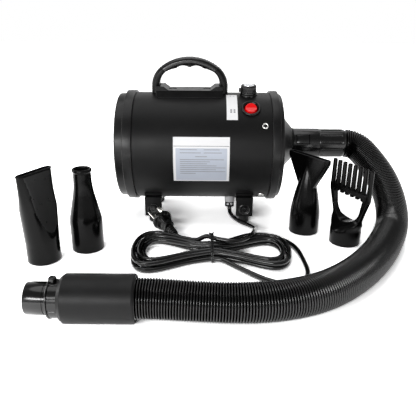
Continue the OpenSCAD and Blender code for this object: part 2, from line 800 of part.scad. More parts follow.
module gland_clamp() color("#131314") laid() translate([gland_x, gland_y, 0]) difference() {
    translate([0, 0, clamp_low]) cylinder(h = nut_low - clamp_low - seat, r = clamp_r);
    cylinder(h = 60, r = cord_r);
    translate([-20, -20 - clamp_flat, clamp_low + 2]) cube([40, 20, 20]);
    for (s = [-1, 1]) translate([s * gland_screw_x, 0, 28]) rotate([90, 0, 0]) cylinder(h = 30, r = 1);
}

module gland_screws() color("#d5d7d9") laid() for (s = [-1, 1])
    translate([gland_x + s * gland_screw_x, gland_y - clamp_flat, 28]) rotate([90, 0, 0]) {
        translate([0, 0, seat]) cylinder(h = 1.2, r = 1.8);
        translate([0, 0, -2.4]) cylinder(h = 3, r = 0.8);
    }

// --- Hose connector and cuff ---
module tab_block(r0, r1, gap) {
    on_hose_side() translate([tab_x - gap, -tab_w / 2 - gap, r0])
        cube([tab_len + (gap > 0 ? gap + seat : 0), tab_w + 2 * gap, r1 - r0]);
}
module on_hose_side() { translate([0, 0, outlet_z]) rotate([90 - tab_angle, 0, 0]) children(); }

module hose_connector() color("#161617") laid() difference() {
    rod_x(connector_x, connector_end, connector_r, outlet_z);
    rod_x(connector_x - 1, connector_stop, connector_bore_r, outlet_z);
    rod_x(connector_x, connector_end + 1, hose_bore_r, outlet_z);
    rod_x(connector_end - cuff_spigot - seat, connector_end + 1, connector_r - 2.2, outlet_z);
    tab_block(outlet_spigot_r - 3, connector_r + 2, tab_slot);
}

module lock_tab() color("#1b1b1c") laid() intersection() {
    tube_x(tab_x, tab_x + tab_len, connector_r, connector_bore_r, outlet_z);
    tab_block(10, connector_r + 4, 0);
}

module hose_cuff() color("#151516") laid() difference() {
    union() {
        rod_x(connector_end + seat, cuff_end - 1.5, cuff_r, outlet_z);
        rod_x(connector_end - cuff_spigot, connector_end + 1, connector_r - 2.2 - seat, outlet_z);
        along(cuff_end - 1.5, outlet_z) cylinder(h = 1.5, r1 = cuff_r, r2 = cuff_r - 1.5);
    }
    rod_x(connector_end - cuff_spigot - 1, cuff_end + 1, cuff_bore_r, outlet_z);
    for (i = [0 : flutes - 1]) along(connector_end + 4, outlet_z) rotate([0, 0, (i + 0.5) * 360 / flutes])
        translate([cuff_r + 0.5, 0, 0]) cylinder(h = cuff_len - 9, r = flute_r);
}

// --- Swept tubes ---
function unit(v) = v / norm(v);
function b_point(a, b, c, d, t) =
    (pow(1 - t, 3) * a + (3 * pow(t, 3) - 6 * t * t + 4) * b
    + (-3 * pow(t, 3) + 3 * t * t + 3 * t + 1) * c + pow(t, 3) * d) / 6;
function smooth(p, n) = concat(
    [for (i = [1 : len(p) - 3], k = [0 : n - 1]) b_point(p[i - 1], p[i], p[i + 1], p[i + 2], k / n)],
    [b_point(p[len(p) - 4], p[len(p) - 3], p[len(p) - 2], p[len(p) - 1], 1)]);
function runs(p) = [for (i = 0, s = 0; i < len(p);
    s = s + (i + 1 < len(p) ? norm(p[i + 1] - p[i]) : 0), i = i + 1) s];
function at_run(p, s, d) = [for (c = [0 : 2]) lookup(d, [for (i = [0 : len(p) - 1]) [s[i], p[i][c]]])];
function spaced(p, step) = let (s = runs(p), total = s[len(s) - 1], n = ceil(total / step))
    [for (k = [0 : n]) at_run(p, s, k * total / n)];
function headings(p, first, last) = [for (i = [0 : len(p) - 1])
    i == 0 ? first : i == len(p) - 1 ? last : unit(p[i + 1] - p[i - 1])];
function sides(t, first) = [for (i = 0, u = unit(first - (first * t[0]) * t[0]); i < len(t);
    i = i + 1, u = i < len(t) ? unit(u - (u * t[i]) * t[i]) : u) u];
function rings(p, t, u, r, n) = [for (i = [0 : len(p) - 1], j = [0 : n - 1])
    p[i] + r[i] * (cos((j + 0.5) * 360 / n) * u[i] + sin((j + 0.5) * 360 / n) * cross(t[i], u[i]))];
function walls(m, n, b, out) = [for (i = [0 : m - 2], j = [0 : n - 1], h = [0, 1])
    let (a0 = b + i * n + j, a1 = b + i * n + (j + 1) % n, c0 = a0 + n, c1 = a1 + n)
    h == 0 ? (out ? [a0, c0, c1] : [a0, c1, c0]) : (out ? [a0, c1, a1] : [a0, a1, c1])];

module solid_tube(p, r, n, up, first, last_way) {
    t = headings(p, first, last_way);
    u = sides(t, up);
    last = (len(p) - 1) * n;
    polyhedron(rings(p, t, u, [for (q = p) r], n), concat(walls(len(p), n, 0, true),
        [for (k = [1 : n - 2]) [0, k, k + 1]], [for (k = [1 : n - 2]) [last, last + k + 1, last + k]]));
}
module hollow_tube(p, r, q, bore, n, up, first, last_way) {
    t = headings(p, first, last_way);
    u = sides(t, up);
    v = headings(q, first, last_way);
    w = sides(v, up);
    mo = len(p);
    mi = len(q);
    b = mo * n;
    lo = (mo - 1) * n;
    li = b + (mi - 1) * n;
    polyhedron(concat(rings(p, t, u, r, n), rings(q, v, w, [for (k = q) bore], n)), concat(
        walls(mo, n, 0, true), walls(mi, n, b, false),
        [for (j = [0 : n - 1], h = [0, 1]) let (k = (j + 1) % n) h == 0 ? [j, k, b + k] : [j, b + k, b + j]],
        [for (j = [0 : n - 1], h = [0, 1]) let (k = (j + 1) % n)
            h == 0 ? [lo + j, li + k, lo + k] : [lo + j, li + j, li + k]]));
}

// --- Hose ---
hose_start = connector_end - cuff_spigot + slip;
hose_turn = cuff_end + 2.5;
hose_floor = hose_r + 0.2;
hose_in = sleeve_x + sleeve_len;
hose_stop = hose_in - sleeve_bore_len + 1;
hose_bends = [
    [253, -1.3, 124.2], [261.5, -4.8, 120.6], [268, -9.8, 115.8], [274.5, -16.6, 108.7], [280.5, -24, 101.5],
    [286, -32.5, 94], [291, -43, 86], [295.3, -56, 76.5], [298.5, -71, 65.5], [300, -88, 52.5],
    [298.5, -107, 38.5], [291.5, -130, 27.5], [279, -154, hose_floor + 0.2],
    [266.5, -177, hose_floor], [253.5, -199.5, hose_floor], [239.5, -221, hose_floor],
    [224, -242, hose_floor], [207.5, -262, hose_floor], [189.5, -280.5, hose_floor],
    [170, -298, hose_floor], [149, -313, hose_floor], [126, -324.5, hose_floor],
    [101.5, -333, hose_floor], [76.5, -339, hose_floor + 0.5], [51, -342, hose_floor + 1],
    [25.5, -342.5, hose_floor + 1.5], [0, -342, hose_floor + 2.5], [-25, -341, hose_floor + 3.5]
];
hose_tail = [
    for (x = [hose_in + 22, hose_in + 8, hose_in - 6, hose_in - 20, hose_in - 34, hose_stop, hose_stop - 14])
        [x, handle_y, handle_z]
];
hose_line = concat([for (i = [-1 : 4]) [hose_start + i * (hose_turn - hose_start) / 4, 0, outlet_z]],
    hose_bends, hose_tail);
hose_path = smooth(hose_line, 8);
hose_runs = runs(hose_path);
hose_total = hose_runs[len(hose_runs) - 1];
hose_neck = cuff_end - hose_start + 1;
rib_count = 160;
rib_pitch = (hose_total - hose_neck) / rib_count;
hose_steps = concat([0, hose_neck / 2, hose_neck],
    [for (i = [0 : rib_count - 1], h = [0.5, 1]) hose_neck + (i + h) * rib_pitch]);
hose_radii = concat([hose_neck_r, hose_neck_r, hose_neck_r],
    [for (i = [0 : rib_count - 1], h = [0, 1]) h == 0 ? hose_r : hose_r - rib_depth]);

module hose() color("#101011") laid() hollow_tube(
    [for (s = hose_steps) at_run(hose_path, hose_runs, s)], hose_radii,
    spaced(hose_path, 12), hose_bore_r, 8, [0, 0, 1], [1, 0, 0], [-1, 0, 0]);

// --- Hose handle ---
module at_handle() { translate([0, handle_y, handle_z - axis_z]) children(); }

module grip_sleeve() color("#1d1d1e") laid() at_handle() difference() {
    rod_x(sleeve_x, sleeve_x + sleeve_len, sleeve_r);
    rod_x(hose_in - sleeve_bore_len, hose_in + 1, sleeve_bore_r);
    rod_x(sleeve_x - 1, sleeve_x + collar_tail_len + 1, collar_tail_r + seat);
    rod_x(sleeve_x, hose_in, tip_r - tip_wall);
}

module tip_collar() color("#111112") laid() at_handle() difference() {
    union() {
        rod_x(sleeve_x - collar_len, sleeve_x - seat, collar_r);
        rod_x(sleeve_x - 1, sleeve_x + collar_tail_len, collar_tail_r);
    }
    rod_x(sleeve_x - collar_len - 1, sleeve_x + collar_tail_len - 2, tip_r + seat);
    rod_x(sleeve_x, sleeve_x + collar_tail_len + 1, tip_r - tip_wall);
    translate([latch_x, 0, axis_z]) cylinder(h = 60, r = latch_r + slip);
}

module hose_tip() color("#0e0e0f") laid() at_handle()
    tube_x(sleeve_x - collar_len - tip_len, sleeve_x + collar_tail_len - 2 - seat, tip_r, tip_r - tip_wall);

module latch_button() color("#0c0c0d") laid() at_handle() translate([latch_x, 0, axis_z + latch_low])
    cylinder(h = latch_top - latch_low, r = latch_r);

// --- Nozzles ---
socket_h = 26;
socket_r = tip_r + slip;
mouth_t = 11;
module socket() { translate([0, 0, -1]) cylinder(h = socket_h + 1.5, r = socket_r); }
module stand(at, heading) { translate([at[0], at[1], 0]) rotate([0, 0, heading]) children(); }
module slot_end(w, t, z) {
    for (s = [-1, 1]) translate([s * (w - t) / 2, 0, z]) cylinder(h = 1, r = t / 2, $fn = 16);
}
module flat_body(grow, z0, z1) {
    hull() {
        translate([0, 0, z0]) cylinder(h = 1, r = nozzle_r + grow, $fn = 32);
        slot_end(flat_w + 2 * grow, mouth_t + 2 * grow, z1 - 1);
    }
}

module flat_nozzle() color("#111112") laid() stand(flat_at, 62) difference() {
    union() {
        cylinder(h = socket_h + fine, r = nozzle_r);
        flat_body(0, socket_h, flat_h);
    }
    socket();
    flat_body(-nozzle_wall, socket_h, flat_h + 1);
}

round_shape = [[23.5, 0], [23.5, 44], [22.6, 52], [20.5, 62], [17.7, 75], [15, 88], [13.4, 100]];
module round_outline(grow, low, high) {
    polygon(concat(
        [[0, low]],
        [for (q = round_shape) [q[0] * nozzle_r / 23.5 + grow, q[1] * round_h / 124 + (q[1] == 0 ? low : 0)]],
        [[round_mouth_r + 0.5 + grow, round_h * 0.9], [round_mouth_r + grow, high], [0, high]]
    ));
}
module round_nozzle() color("#111112") laid() stand(round_at, 0) rotate_extrude() difference() {
    round_outline(0, 0, round_h);
    intersection() {
        round_outline(-nozzle_wall, -1, round_h + 1);
        translate([0, socket_h]) square([2 * nozzle_r, round_h]);
    }
    translate([0, -1]) square([socket_r, socket_h + 1.5]);
}

fan_waist_z = 80;
fan_waist_r = 16;
fan_lip_h = 7;
module fan_slot(grow, z) { slot_end(fan_w + 2 * grow, mouth_t + 2 * grow, z); }
module fan_body(grow, z1) {
    hull() {
        translate([0, 0, fan_waist_z]) cylinder(h = 1, r = fan_waist_r + grow, $fn = 32);
        fan_slot(grow, fan_h - fan_lip_h);
    }
    hull() {
        fan_slot(grow, fan_h - fan_lip_h);
        fan_slot(grow, z1 - 1);
    }
}
module fan_nozzle() color("#111112") laid() stand(fan_at, -55.7) difference() {
    union() {
        cylinder(h = socket_h, r = nozzle_r);
        translate([0, 0, socket_h])
            cylinder(h = fan_waist_z - socket_h + 0.5, r1 = nozzle_r, r2 = fan_waist_r);
        fan_body(0, fan_h);
    }
    socket();
    translate([0, 0, socket_h - fine]) cylinder(h = fan_waist_z - socket_h + 0.6,
        r1 = nozzle_r - nozzle_wall, r2 = fan_waist_r - nozzle_wall);
    fan_body(-nozzle_wall, fan_h + 1);
}

// The comb's round base flattens into a forked frame round an open eye, with a bar of hollow teeth.
comb_fork_z = 22;
comb_flat_z = 44;
comb_flat_w = 58;
comb_t = 9;
comb_bar_z = 80;
comb_bar_h = 8;
comb_w = 83;
comb_pitch = 10.9;
tooth_r = 3.7;
tooth_bore_r = 1.9;
tooth_root = 6;
comb_eye_z = 36.5;
comb_eye_r = 21;
comb_eye_side = [28.5, 64];
comb_eye_top = 31;
module comb_body(grow) {
    hull() {
        translate([0, 0, comb_fork_z]) cylinder(h = 1, r = nozzle_r + grow, $fn = 32);
        translate([-comb_flat_w / 2 - grow, -comb_t / 2 - grow, comb_flat_z - 1])
            cube([comb_flat_w + 2 * grow, comb_t + 2 * grow, 1]);
    }
    front_view(comb_t + 2 * grow) polygon([
        [-comb_flat_w / 2 - grow, comb_flat_z - 1], [-comb_w / 2 - grow, comb_bar_z],
        [-comb_w / 2 - grow, comb_bar_z + comb_bar_h + grow],
        [comb_w / 2 + grow, comb_bar_z + comb_bar_h + grow],
        [comb_w / 2 + grow, comb_bar_z], [comb_flat_w / 2 + grow, comb_flat_z - 1]
    ]);
}
module comb_eye(grow, depth) {
    front_view(depth) {
        translate([0, comb_eye_z + comb_eye_r]) circle(comb_eye_r + grow);
        polygon([
            [-comb_eye_r - grow, comb_eye_z + comb_eye_r], [-comb_eye_side[0] - grow, comb_eye_side[1]],
            [-comb_eye_top - grow, comb_bar_z + grow], [comb_eye_top + grow, comb_bar_z + grow],
            [comb_eye_side[0] + grow, comb_eye_side[1]], [comb_eye_r + grow, comb_eye_z + comb_eye_r]
        ]);
    }
}
module at_teeth() {
    for (i = [0 : comb_teeth - 1]) translate([(i - (comb_teeth - 1) / 2) * comb_pitch, 0, comb_bar_z])
        children();
}
module comb_nozzle() color("#111112") laid() stand(comb_at, -62.8) difference() {
    union() {
        difference() {
            union() {
                cylinder(h = comb_fork_z + 0.5, r = nozzle_r);
                difference() {
                    comb_body(0);
                    comb_body(-nozzle_wall);
                }
                intersection() {
                    comb_body(0);
                    comb_eye(nozzle_wall, 60);
                }
            }
            socket();
            comb_eye(0, 70);
        }
        at_teeth() translate([0, 0, -tooth_root]) cylinder(h = comb_h - comb_bar_z + tooth_root, r = tooth_r);
    }
    at_teeth() translate([0, 0, 3]) cylinder(h = 60, r = tooth_bore_r);
}

// --- Mains lead ---
hank_mid = [16.6, -176];
hank_turns = 4.5;
hank_begin = 1 / 24;
hank_half = 117;
hank_end_step = 8.6;
hank_reverse = 2;
waist_step = 8.8;
waist_top = 22;
waist_floor = waist_top - waist_step * hank_reverse;
lobe_out = 106;
lobe_step = 18;
lead_z = cord_r;
layer = cord_d + 1.1;
tie_lift = 1.7;
function ramp(s) = let (q = min(max(s, 0), 1)) q * q * (3 - 2 * q);
function hank_a(s) = s < hank_reverse ? hank_half - hank_end_step * s
    : s < hank_reverse + 0.5 ? hank_half - hank_end_step * hank_reverse
    : hank_half - hank_end_step * hank_reverse + hank_end_step * (s - hank_reverse - 0.5);
function hank_v(s) = s < hank_reverse ? waist_top - waist_step * s
    : s < hank_reverse + 0.5 ? waist_floor
    : waist_floor + waist_step * (s - hank_reverse - 0.5);
function hank_k(s) = s < hank_reverse ? lobe_out - lobe_step * s
    : s < hank_reverse + 0.5 ? lobe_out - lobe_step * hank_reverse
    : lobe_out - lobe_step * (2 * hank_reverse + 0.5 - s);
function lift(x) = tie_lift * exp(-pow((x - hank_mid[0]) / 14, 2));
function hank_at(s) = let (t = 90 + 360 * s, c = cos(t), x = hank_mid[0] + hank_a(s) * c)
    [x, hank_mid[1] + sin(t) * (hank_v(s) + hank_k(s) * c * c),
    lead_z + layer * (1 - ramp((s - hank_reverse) * 2)) + lift(x)];
hank_rings = round((hank_turns - hank_begin) * 24);
hank_path = [for (i = [0 : hank_rings]) hank_at(hank_begin + i * (hank_turns - hank_begin) / hank_rings)];

lead_in = hank_path[0];
lead_in_way = unit(hank_at(hank_begin + 0.002) - lead_in);
lead_out = hank_path[hank_rings];
lead_out_way = unit(lead_out - hank_at(hank_turns - 0.002));
start_line = concat([for (z = [41, 33.5, 26.5, 19.5]) [gland_x, gland_y, z]], [
    [46.7, -34, 13.5], [48.5, -42, 10.5], [52.5, -54, 10], [59, -64.5, 8.5], [67, -70.5, 7], [76, -76, 5.5],
    [83, -86, 6], [86, -99, 9.5], [84.5, -113, 13.5], [81.5, -128, 17.5], [78, -142, 20], [71.5, -155, 20.2],
    [60, -166, 20], [46, -171.5, 20.2], [31, -169.5, 21.6], [18, -163.5, 21.8], [6.5, -154.5, 23]],
    [for (d = [-9, 0, 9]) lead_in + d * lead_in_way]);
plug_at = [-66.7, -81.5, 18];
plug_turn = 127.3;
plug_rise = 16.4;
relief_end = 44;
cord_in_relief = 6;
plug_way = [cos(plug_rise) * cos(plug_turn), cos(plug_rise) * sin(plug_turn), sin(plug_rise)];
end_line = concat([for (d = [-12, 0, 12]) lead_out + d * lead_out_way], [
    [41, -208.5, lead_z], [53, -220.5, lead_z], [66, -233, lead_z], [79, -246, lead_z], [94, -257, lead_z],
    [110, -264.5, lead_z], [127, -264, lead_z], [139.5, -253, lead_z], [145, -237, lead_z],
    [147, -220, lead_z], [146.5, -202, lead_z], [145.5, -183, lead_z], [143.5, -164, lead_z],
    [138.5, -146, lead_z], [128, -130, lead_z], [113, -117, lead_z], [96, -109, lead_z],
    [79, -109.5, lead_z], [62, -118, lead_z], [46, -131, lead_z], [31, -143, lead_z + 1],
    [15, -148, lead_z + 2],
    [-1, -146.5, lead_z + 1], [-15, -141.5, lead_z], [-27, -133, lead_z + 0.2]],
    [for (d = [12, 0, -12]) plug_at - (relief_end - cord_in_relief + d) * plug_way]);
start_path = spaced(smooth(start_line, 6), 2 * cord_d);
end_path = spaced(smooth(end_line, 6), 2 * cord_d);

module lead_start() color("#0b0b0c") laid() solid_tube(start_path, cord_r, 8, [1, 0, 0],
    [0, 0, -1], lead_in_way);
module lead_hank() color("#0b0b0c") laid() solid_tube(hank_path, cord_r, 6, [0, 0, 1],
    lead_in_way, lead_out_way);
module lead_end() color("#0b0b0c") laid() solid_tube(end_path, cord_r, 8, [0, 0, 1],
    lead_out_way, plug_way);

tie_w = 5;
tie_t = 1.1;
tie_y = [-27, 34.4];
tie_top = 25.6;
module tie_outline(grow) {
    y0 = tie_y[0] + hank_mid[1] - grow;
    y1 = tie_y[1] + hank_mid[1] + grow;
    z1 = tie_top + grow;
    q = 3 + grow;
    translate([y0, 1.4 - grow]) square([y1 - y0, tie_top / 2]);
    translate([y0, 1.4 - grow]) square([y1 - y0, z1 - 1.4 + grow - q]);
    translate([y0 + q, 1.4 - grow]) square([y1 - y0 - 2 * q, z1 - 1.4 + grow]);
    for (y = [y0 + q, y1 - q]) translate([y, z1 - q]) circle(q);
}
module hank_tie() color("#0d0d0d") laid() translate([hank_mid[0], 0, 0]) {
    side_view(tie_w) difference() {
        tie_outline(tie_t);
        tie_outline(0);
    }
    for (a = [-20, 20]) translate([0, hank_mid[1] - 6, tie_top]) rotate([a, 0, 0]) cylinder(h = 13, r = 1.2);
}

// --- Plug ---
module at_plug() { translate(plug_at) rotate([0, -plug_rise, plug_turn]) children(); }
module turned(x0, x1, r0, r1) {
    translate([x0, 0, 0]) rotate([0, 90, 0]) cylinder(h = x1 - x0, r1 = r0, r2 = r1);
}
plug_roll = 100;
pin_angles = [30, -30, 90];
pin_places = [[4, 7.9], [4, -7.9], [-10.3, 0]];

module plug_body() color("#111112") laid() at_plug() {
    turned(-2, 3, 17.8, 17.8);
    turned(-26, -1.5, 9, 14.5);
}
module plug_relief() color("#0e0e0f") laid() at_plug() difference() {
    union() {
        turned(-relief_end, -26 - seat, 4.8, 6.6);
        for (x = [-40, -35, -30]) turned(x - 1.5, x + 1.5, 6.2, 6.2);
    }
    turned(-relief_end - 1, -relief_end + cord_in_relief + 0.5, cord_r, cord_r);
}
module plug_pins() color("#d9dadc") laid() at_plug() rotate([plug_roll, 0, 0]) for (i = [0 : 2])
    translate([3 + seat, pin_places[i][1], pin_places[i][0]]) rotate([pin_angles[i], 0, 0])
        translate([0, -3.15, -0.8]) cube([17, 6.3, 1.6]);

barrel_shell();
intake_cap();
intake_grille();
filter_pad();
intake_foam();
outlet_cap();
outlet_neck();
handle_base();
handle_legs();
handle_grip();
rating_plate();
scale_label();
case_screws();
cup_washers();
knob_collar();
potentiometer();
knob_shaft();
speed_knob();
knob_cap();
switch_housing();
switch_rocker();
speed_board();
foot_brackets();
rubber_feet();
foot_bolts();
front_mount();
rear_mount();
fan_case();
motor_frame();
stator_core();
field_windings();
motor_bearings();
brush_holders();
motor_shaft();
armature();
impellers();
heater_frame();
heater_rings();
cable_gland();
gland_clamp();
gland_screws();
hose_connector();
lock_tab();
hose_cuff();
hose();
grip_sleeve();
tip_collar();
hose_tip();
latch_button();
flat_nozzle();
round_nozzle();
fan_nozzle();
comb_nozzle();
lead_start();
lead_hank();
lead_end();
hank_tie();
plug_relief();
plug_body();
plug_pins();
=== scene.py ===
import json
import math

import bmesh
import bpy
from mathutils import Matrix, Vector


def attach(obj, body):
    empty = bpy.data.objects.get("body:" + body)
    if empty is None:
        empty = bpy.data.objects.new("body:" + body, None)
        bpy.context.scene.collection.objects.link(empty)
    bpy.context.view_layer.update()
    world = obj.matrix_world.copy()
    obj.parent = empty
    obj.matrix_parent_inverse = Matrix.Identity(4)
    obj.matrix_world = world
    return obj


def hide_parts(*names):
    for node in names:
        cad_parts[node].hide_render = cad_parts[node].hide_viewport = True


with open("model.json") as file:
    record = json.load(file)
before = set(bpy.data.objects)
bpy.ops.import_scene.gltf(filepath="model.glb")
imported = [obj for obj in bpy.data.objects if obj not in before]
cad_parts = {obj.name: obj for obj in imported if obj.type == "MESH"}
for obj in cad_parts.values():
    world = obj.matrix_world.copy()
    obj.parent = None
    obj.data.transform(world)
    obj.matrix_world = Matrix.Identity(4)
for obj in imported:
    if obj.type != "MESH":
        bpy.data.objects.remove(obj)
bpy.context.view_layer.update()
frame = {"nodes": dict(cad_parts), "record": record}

nodes = frame["nodes"]


# The layout is the CAD source's frame in millimetres; the row frame is in metres.
MM = 1000
SHIFT_X, SHIFT_Y = 0.9, 138.7


def row(p):
    return Vector(((p[0] + SHIFT_X) / MM, (p[1] + SHIFT_Y) / MM, p[2] / MM))


def layout(v):
    return Vector((v[0] * MM - SHIFT_X, v[1] * MM - SHIFT_Y, v[2] * MM))


# --- Camera ---
camera = bpy.data.objects.new("camera", bpy.data.cameras.new("camera"))
bpy.context.scene.collection.objects.link(camera)
camera.data.sensor_width = 36
camera.data.lens = 41.92
camera.data.clip_start = 0.01
camera.matrix_world = (
    Matrix.Translation((0.0106, -0.6716, 0.3249))
    @ Matrix.Rotation(math.radians(68.44), 4, "X")
    @ Matrix.Rotation(0.007, 4, "Z")
)
bpy.context.scene.camera = camera


# --- Materials ---
class Paint:
    """A material with its nodes, mapped by the object's own coordinates in metres."""

    def __init__(self, name, colour, rough, metal=0.0, spec=0.5, coat=0.0, sheen=0.0):
        self.material = bpy.data.materials.new(name)
        self.material.use_nodes = True
        self.tree = self.material.node_tree
        self.nodes = self.tree.nodes
        self.shader = self.nodes["Principled BSDF"]
        self.set(Base_Color=(*colour, 1), Roughness=rough, Metallic=metal, Specular_IOR_Level=spec)
        if coat:
            self.set(Coat_Weight=coat, Coat_Roughness=0.12)
        if sheen:
            self.set(Sheen_Weight=sheen, Sheen_Roughness=0.5)
        self.place = self.nodes.new("ShaderNodeTexCoord").outputs["Object"]
        self.normal = None
        self.colour, self.rough = colour, rough

    def set(self, **values):
        for key, value in values.items():
            self.shader.inputs[key.replace("_", " ")].default_value = value

    def link(self, a, b):
        self.tree.links.new(a, b)

    def noise(self, scale, detail=4, stretch=(1, 1, 1), rough=0.55):
        place = self.place
        if stretch != (1, 1, 1):
            mapping = self.nodes.new("ShaderNodeMapping")
            mapping.inputs["Scale"].default_value = stretch
            self.link(self.place, mapping.inputs["Vector"])
            place = mapping.outputs["Vector"]
        n = self.nodes.new("ShaderNodeTexNoise")
        n.inputs["Scale"].default_value = scale
        n.inputs["Detail"].default_value = detail
        n.inputs["Roughness"].default_value = rough
        self.link(place, n.inputs["Vector"])
        return n.outputs["Fac"]

    def span(self, value, low, high, a=0.3, b=0.7):
        n = self.nodes.new("ShaderNodeMapRange")
        for key, x in (("From Min", a), ("From Max", b), ("To Min", low), ("To Max", high)):
            n.inputs[key].default_value = x
        self.link(value, n.inputs["Value"])
        return n.outputs["Result"]

    def mix(self, value, low, high):
        n = self.nodes.new("ShaderNodeMix")
        n.data_type = "RGBA"
        self.link(value, n.inputs[0])
        n.inputs[6].default_value = (*low, 1)
        n.inputs[7].default_value = (*high, 1)
        return n.outputs[2]

    def vary(self, scale, colour=0.25, rough=0.08, stretch=(1, 1, 1)):
        """Colour and roughness drift a little over the surface."""
        n = self.noise(scale, 5, stretch)
        low = [c * (1 - colour) for c in self.colour]
        high = [min(1, c * (1 + colour)) for c in self.colour]
        self.link(self.mix(self.span(n, 0, 1), low, high), self.shader.inputs["Base Color"])
        m = self.noise(scale * 2.3 + 1, 5, stretch)
        self.link(self.span(m, self.rough - rough, self.rough + rough), self.shader.inputs["Roughness"])
        return self

    def bump(self, value, depth, strength=1.0):
        n = self.nodes.new("ShaderNodeBump")
        n.inputs["Distance"].default_value = depth
        n.inputs["Strength"].default_value = strength
        self.link(value, n.inputs["Height"])
        if self.normal:
            self.link(self.normal, n.inputs["Normal"])
        self.normal = n.outputs["Normal"]
        self.link(self.normal, self.shader.inputs["Normal"])
        return self

    def grain(self, scale, depth, detail=3, stretch=(1, 1, 1)):
        return self.bump(self.noise(scale, detail, stretch), depth)


def grey(v):
    return (v, v, v * 1.02)


SKINS = {
    "black_paint": Paint("black_paint", grey(0.0058), 0.4, spec=0.13).vary(14, 0.2, 0.04)
        .grain(900, 0.00007),
    "cap_black": Paint("cap_black", grey(0.006), 0.32, spec=0.2).vary(30, 0.2, 0.06).grain(500, 0.00004),
    "handle_black": Paint("handle_black", grey(0.0028), 0.34, spec=0.12).vary(40, 0.2, 0.06)
        .grain(1400, 0.00008),
    "grip_black": Paint("grip_black", grey(0.0035), 0.24, spec=0.34).vary(40, 0.2, 0.06)
        .grain(1000, 0.00004),
    "hose_black": Paint("hose_black", grey(0.002), 0.2, spec=0.4).vary(60, 0.3, 0.04),
    # A darker, matte copy of hose_black for the rib grooves: painted shade in the valleys.
    "hose_valley_painted_shade": Paint("hose_valley_painted_shade", grey(0.0004), 0.7, spec=0.0).vary(60, 0.3, 0.04),
    "nozzle_black": Paint("nozzle_black", grey(0.0015), 0.18, spec=0.1).vary(40, 0.2, 0.04)
        .grain(120, 0.00003),
    "sleeve_black": Paint("sleeve_black", grey(0.007), 0.4, spec=0.15).vary(30, 0.2, 0.05)
        .grain(1600, 0.00008),
    "tip_black": Paint("tip_black", grey(0.002), 0.15, spec=0.42).vary(60, 0.2, 0.03).grain(300, 0.00002),
    "knob_black": Paint("knob_black", grey(0.002), 0.17, spec=0.26).vary(60, 0.2, 0.05)
        .grain(1200, 0.00004),
    "knob_silver": Paint("knob_silver", (0.72, 0.73, 0.75), 0.26, metal=1.0).vary(60, 0.05, 0.06),
    "rocker_red": Paint("rocker_red", (0.68, 0.002, 0.003), 0.12, spec=0.3, coat=0.15).vary(60, 0.12, 0.05),
    "foot_rubber": Paint("foot_rubber", grey(0.004), 0.42, spec=0.3).vary(60, 0.3, 0.08)
        .grain(700, 0.0001),
    "cord_black": Paint("cord_black", grey(0.0012), 0.15, spec=0.5).vary(50, 0.3, 0.07)
        .grain(900, 0.00005),
    "plug_black": Paint("plug_black", grey(0.002), 0.24, spec=0.22).vary(60, 0.3, 0.06).grain(900, 0.00005),
    "pin_metal": Paint("pin_metal", (0.78, 0.76, 0.72), 0.24, metal=1.0).vary(200, 0.06, 0.08),
    "screw_steel": Paint("screw_steel", (0.5, 0.5, 0.51), 0.33, metal=1.0).vary(200, 0.1, 0.08),
    "washer_nickel": Paint("washer_nickel", (0.72, 0.71, 0.69), 0.25, metal=1.0).vary(150, 0.08, 0.08),
    "label_white": Paint("label_white", (0.82, 0.82, 0.83), 0.45).vary(30, 0.02, 0.04),
    "gland_grey": Paint("gland_grey", (0.42, 0.42, 0.43), 0.4).vary(80, 0.08, 0.06).grain(900, 0.00004),
    "motor_steel": Paint("motor_steel", (0.45, 0.45, 0.46), 0.38, metal=1.0).vary(80, 0.15, 0.1),
    "motor_alloy": Paint("motor_alloy", (0.6, 0.61, 0.62), 0.42, metal=1.0).vary(60, 0.12, 0.1)
        .grain(400, 0.0001),
    "copper": Paint("copper", (0.75, 0.32, 0.15), 0.3, metal=1.0).vary(120, 0.15, 0.08),
    "board_green": Paint("board_green", (0.02, 0.16, 0.06), 0.35).vary(120, 0.2, 0.06),
    "mica": Paint("mica", (0.5, 0.44, 0.32), 0.5).vary(60, 0.15, 0.08).grain(300, 0.0001),
    "foam_grey": Paint("foam_grey", grey(0.07), 0.95).vary(200, 0.4, 0.03).grain(600, 0.0006),
    "inner_rubber": Paint("inner_rubber", grey(0.02), 0.6).vary(60, 0.2, 0.06).grain(500, 0.0001),
    "label_tint": Paint("label_tint", (0.5, 0.54, 0.62), 0.42).vary(30, 0.03, 0.04),
    "screw_dark": Paint("screw_dark", grey(0.006), 0.22, spec=0.5).vary(200, 0.3, 0.08).grain(900, 0.00004),
    # A lighter, glossier copy of nozzle_black for the flat nozzle's flat faces: painted sheen.
    "facet_painted_sheen": Paint("facet_painted_sheen", grey(0.004), 0.3, spec=0.4).vary(40, 0.2, 0.04),
    "label_ink": Paint("label_ink", (0.22, 0.22, 0.24), 0.5).vary(200, 0.2, 0.04),
}
SKIN = {name: paint.material for name, paint in SKINS.items()}
slot_of = {s["node"]: s["material_slot"] for s in frame["record"]["subparts"]}
body_of = {n: b for b, ns in frame["record"]["behaviour"]["bodies"].items() for n in ns}
for name, ob in nodes.items():
    ob.data.materials.clear()
    ob.data.materials.append(SKIN[slot_of[name]])
    ob.data.shade_smooth()
    ob.data.set_sharp_from_angle(angle=math.radians(28))


# --- Mesh tools; places are in layout millimetres ---
def at(origin, way=(0, 0, 1), side=(1, 0, 0)):
    """A place whose own Z runs along way and whose X leans towards side."""
    z = Vector(way).normalized()
    x = Vector(side)
    x = (x - x.dot(z) * z).normalized()
    m = Matrix((x, z.cross(x), z)).transposed().to_4x4()
    m.translation = origin
    return m


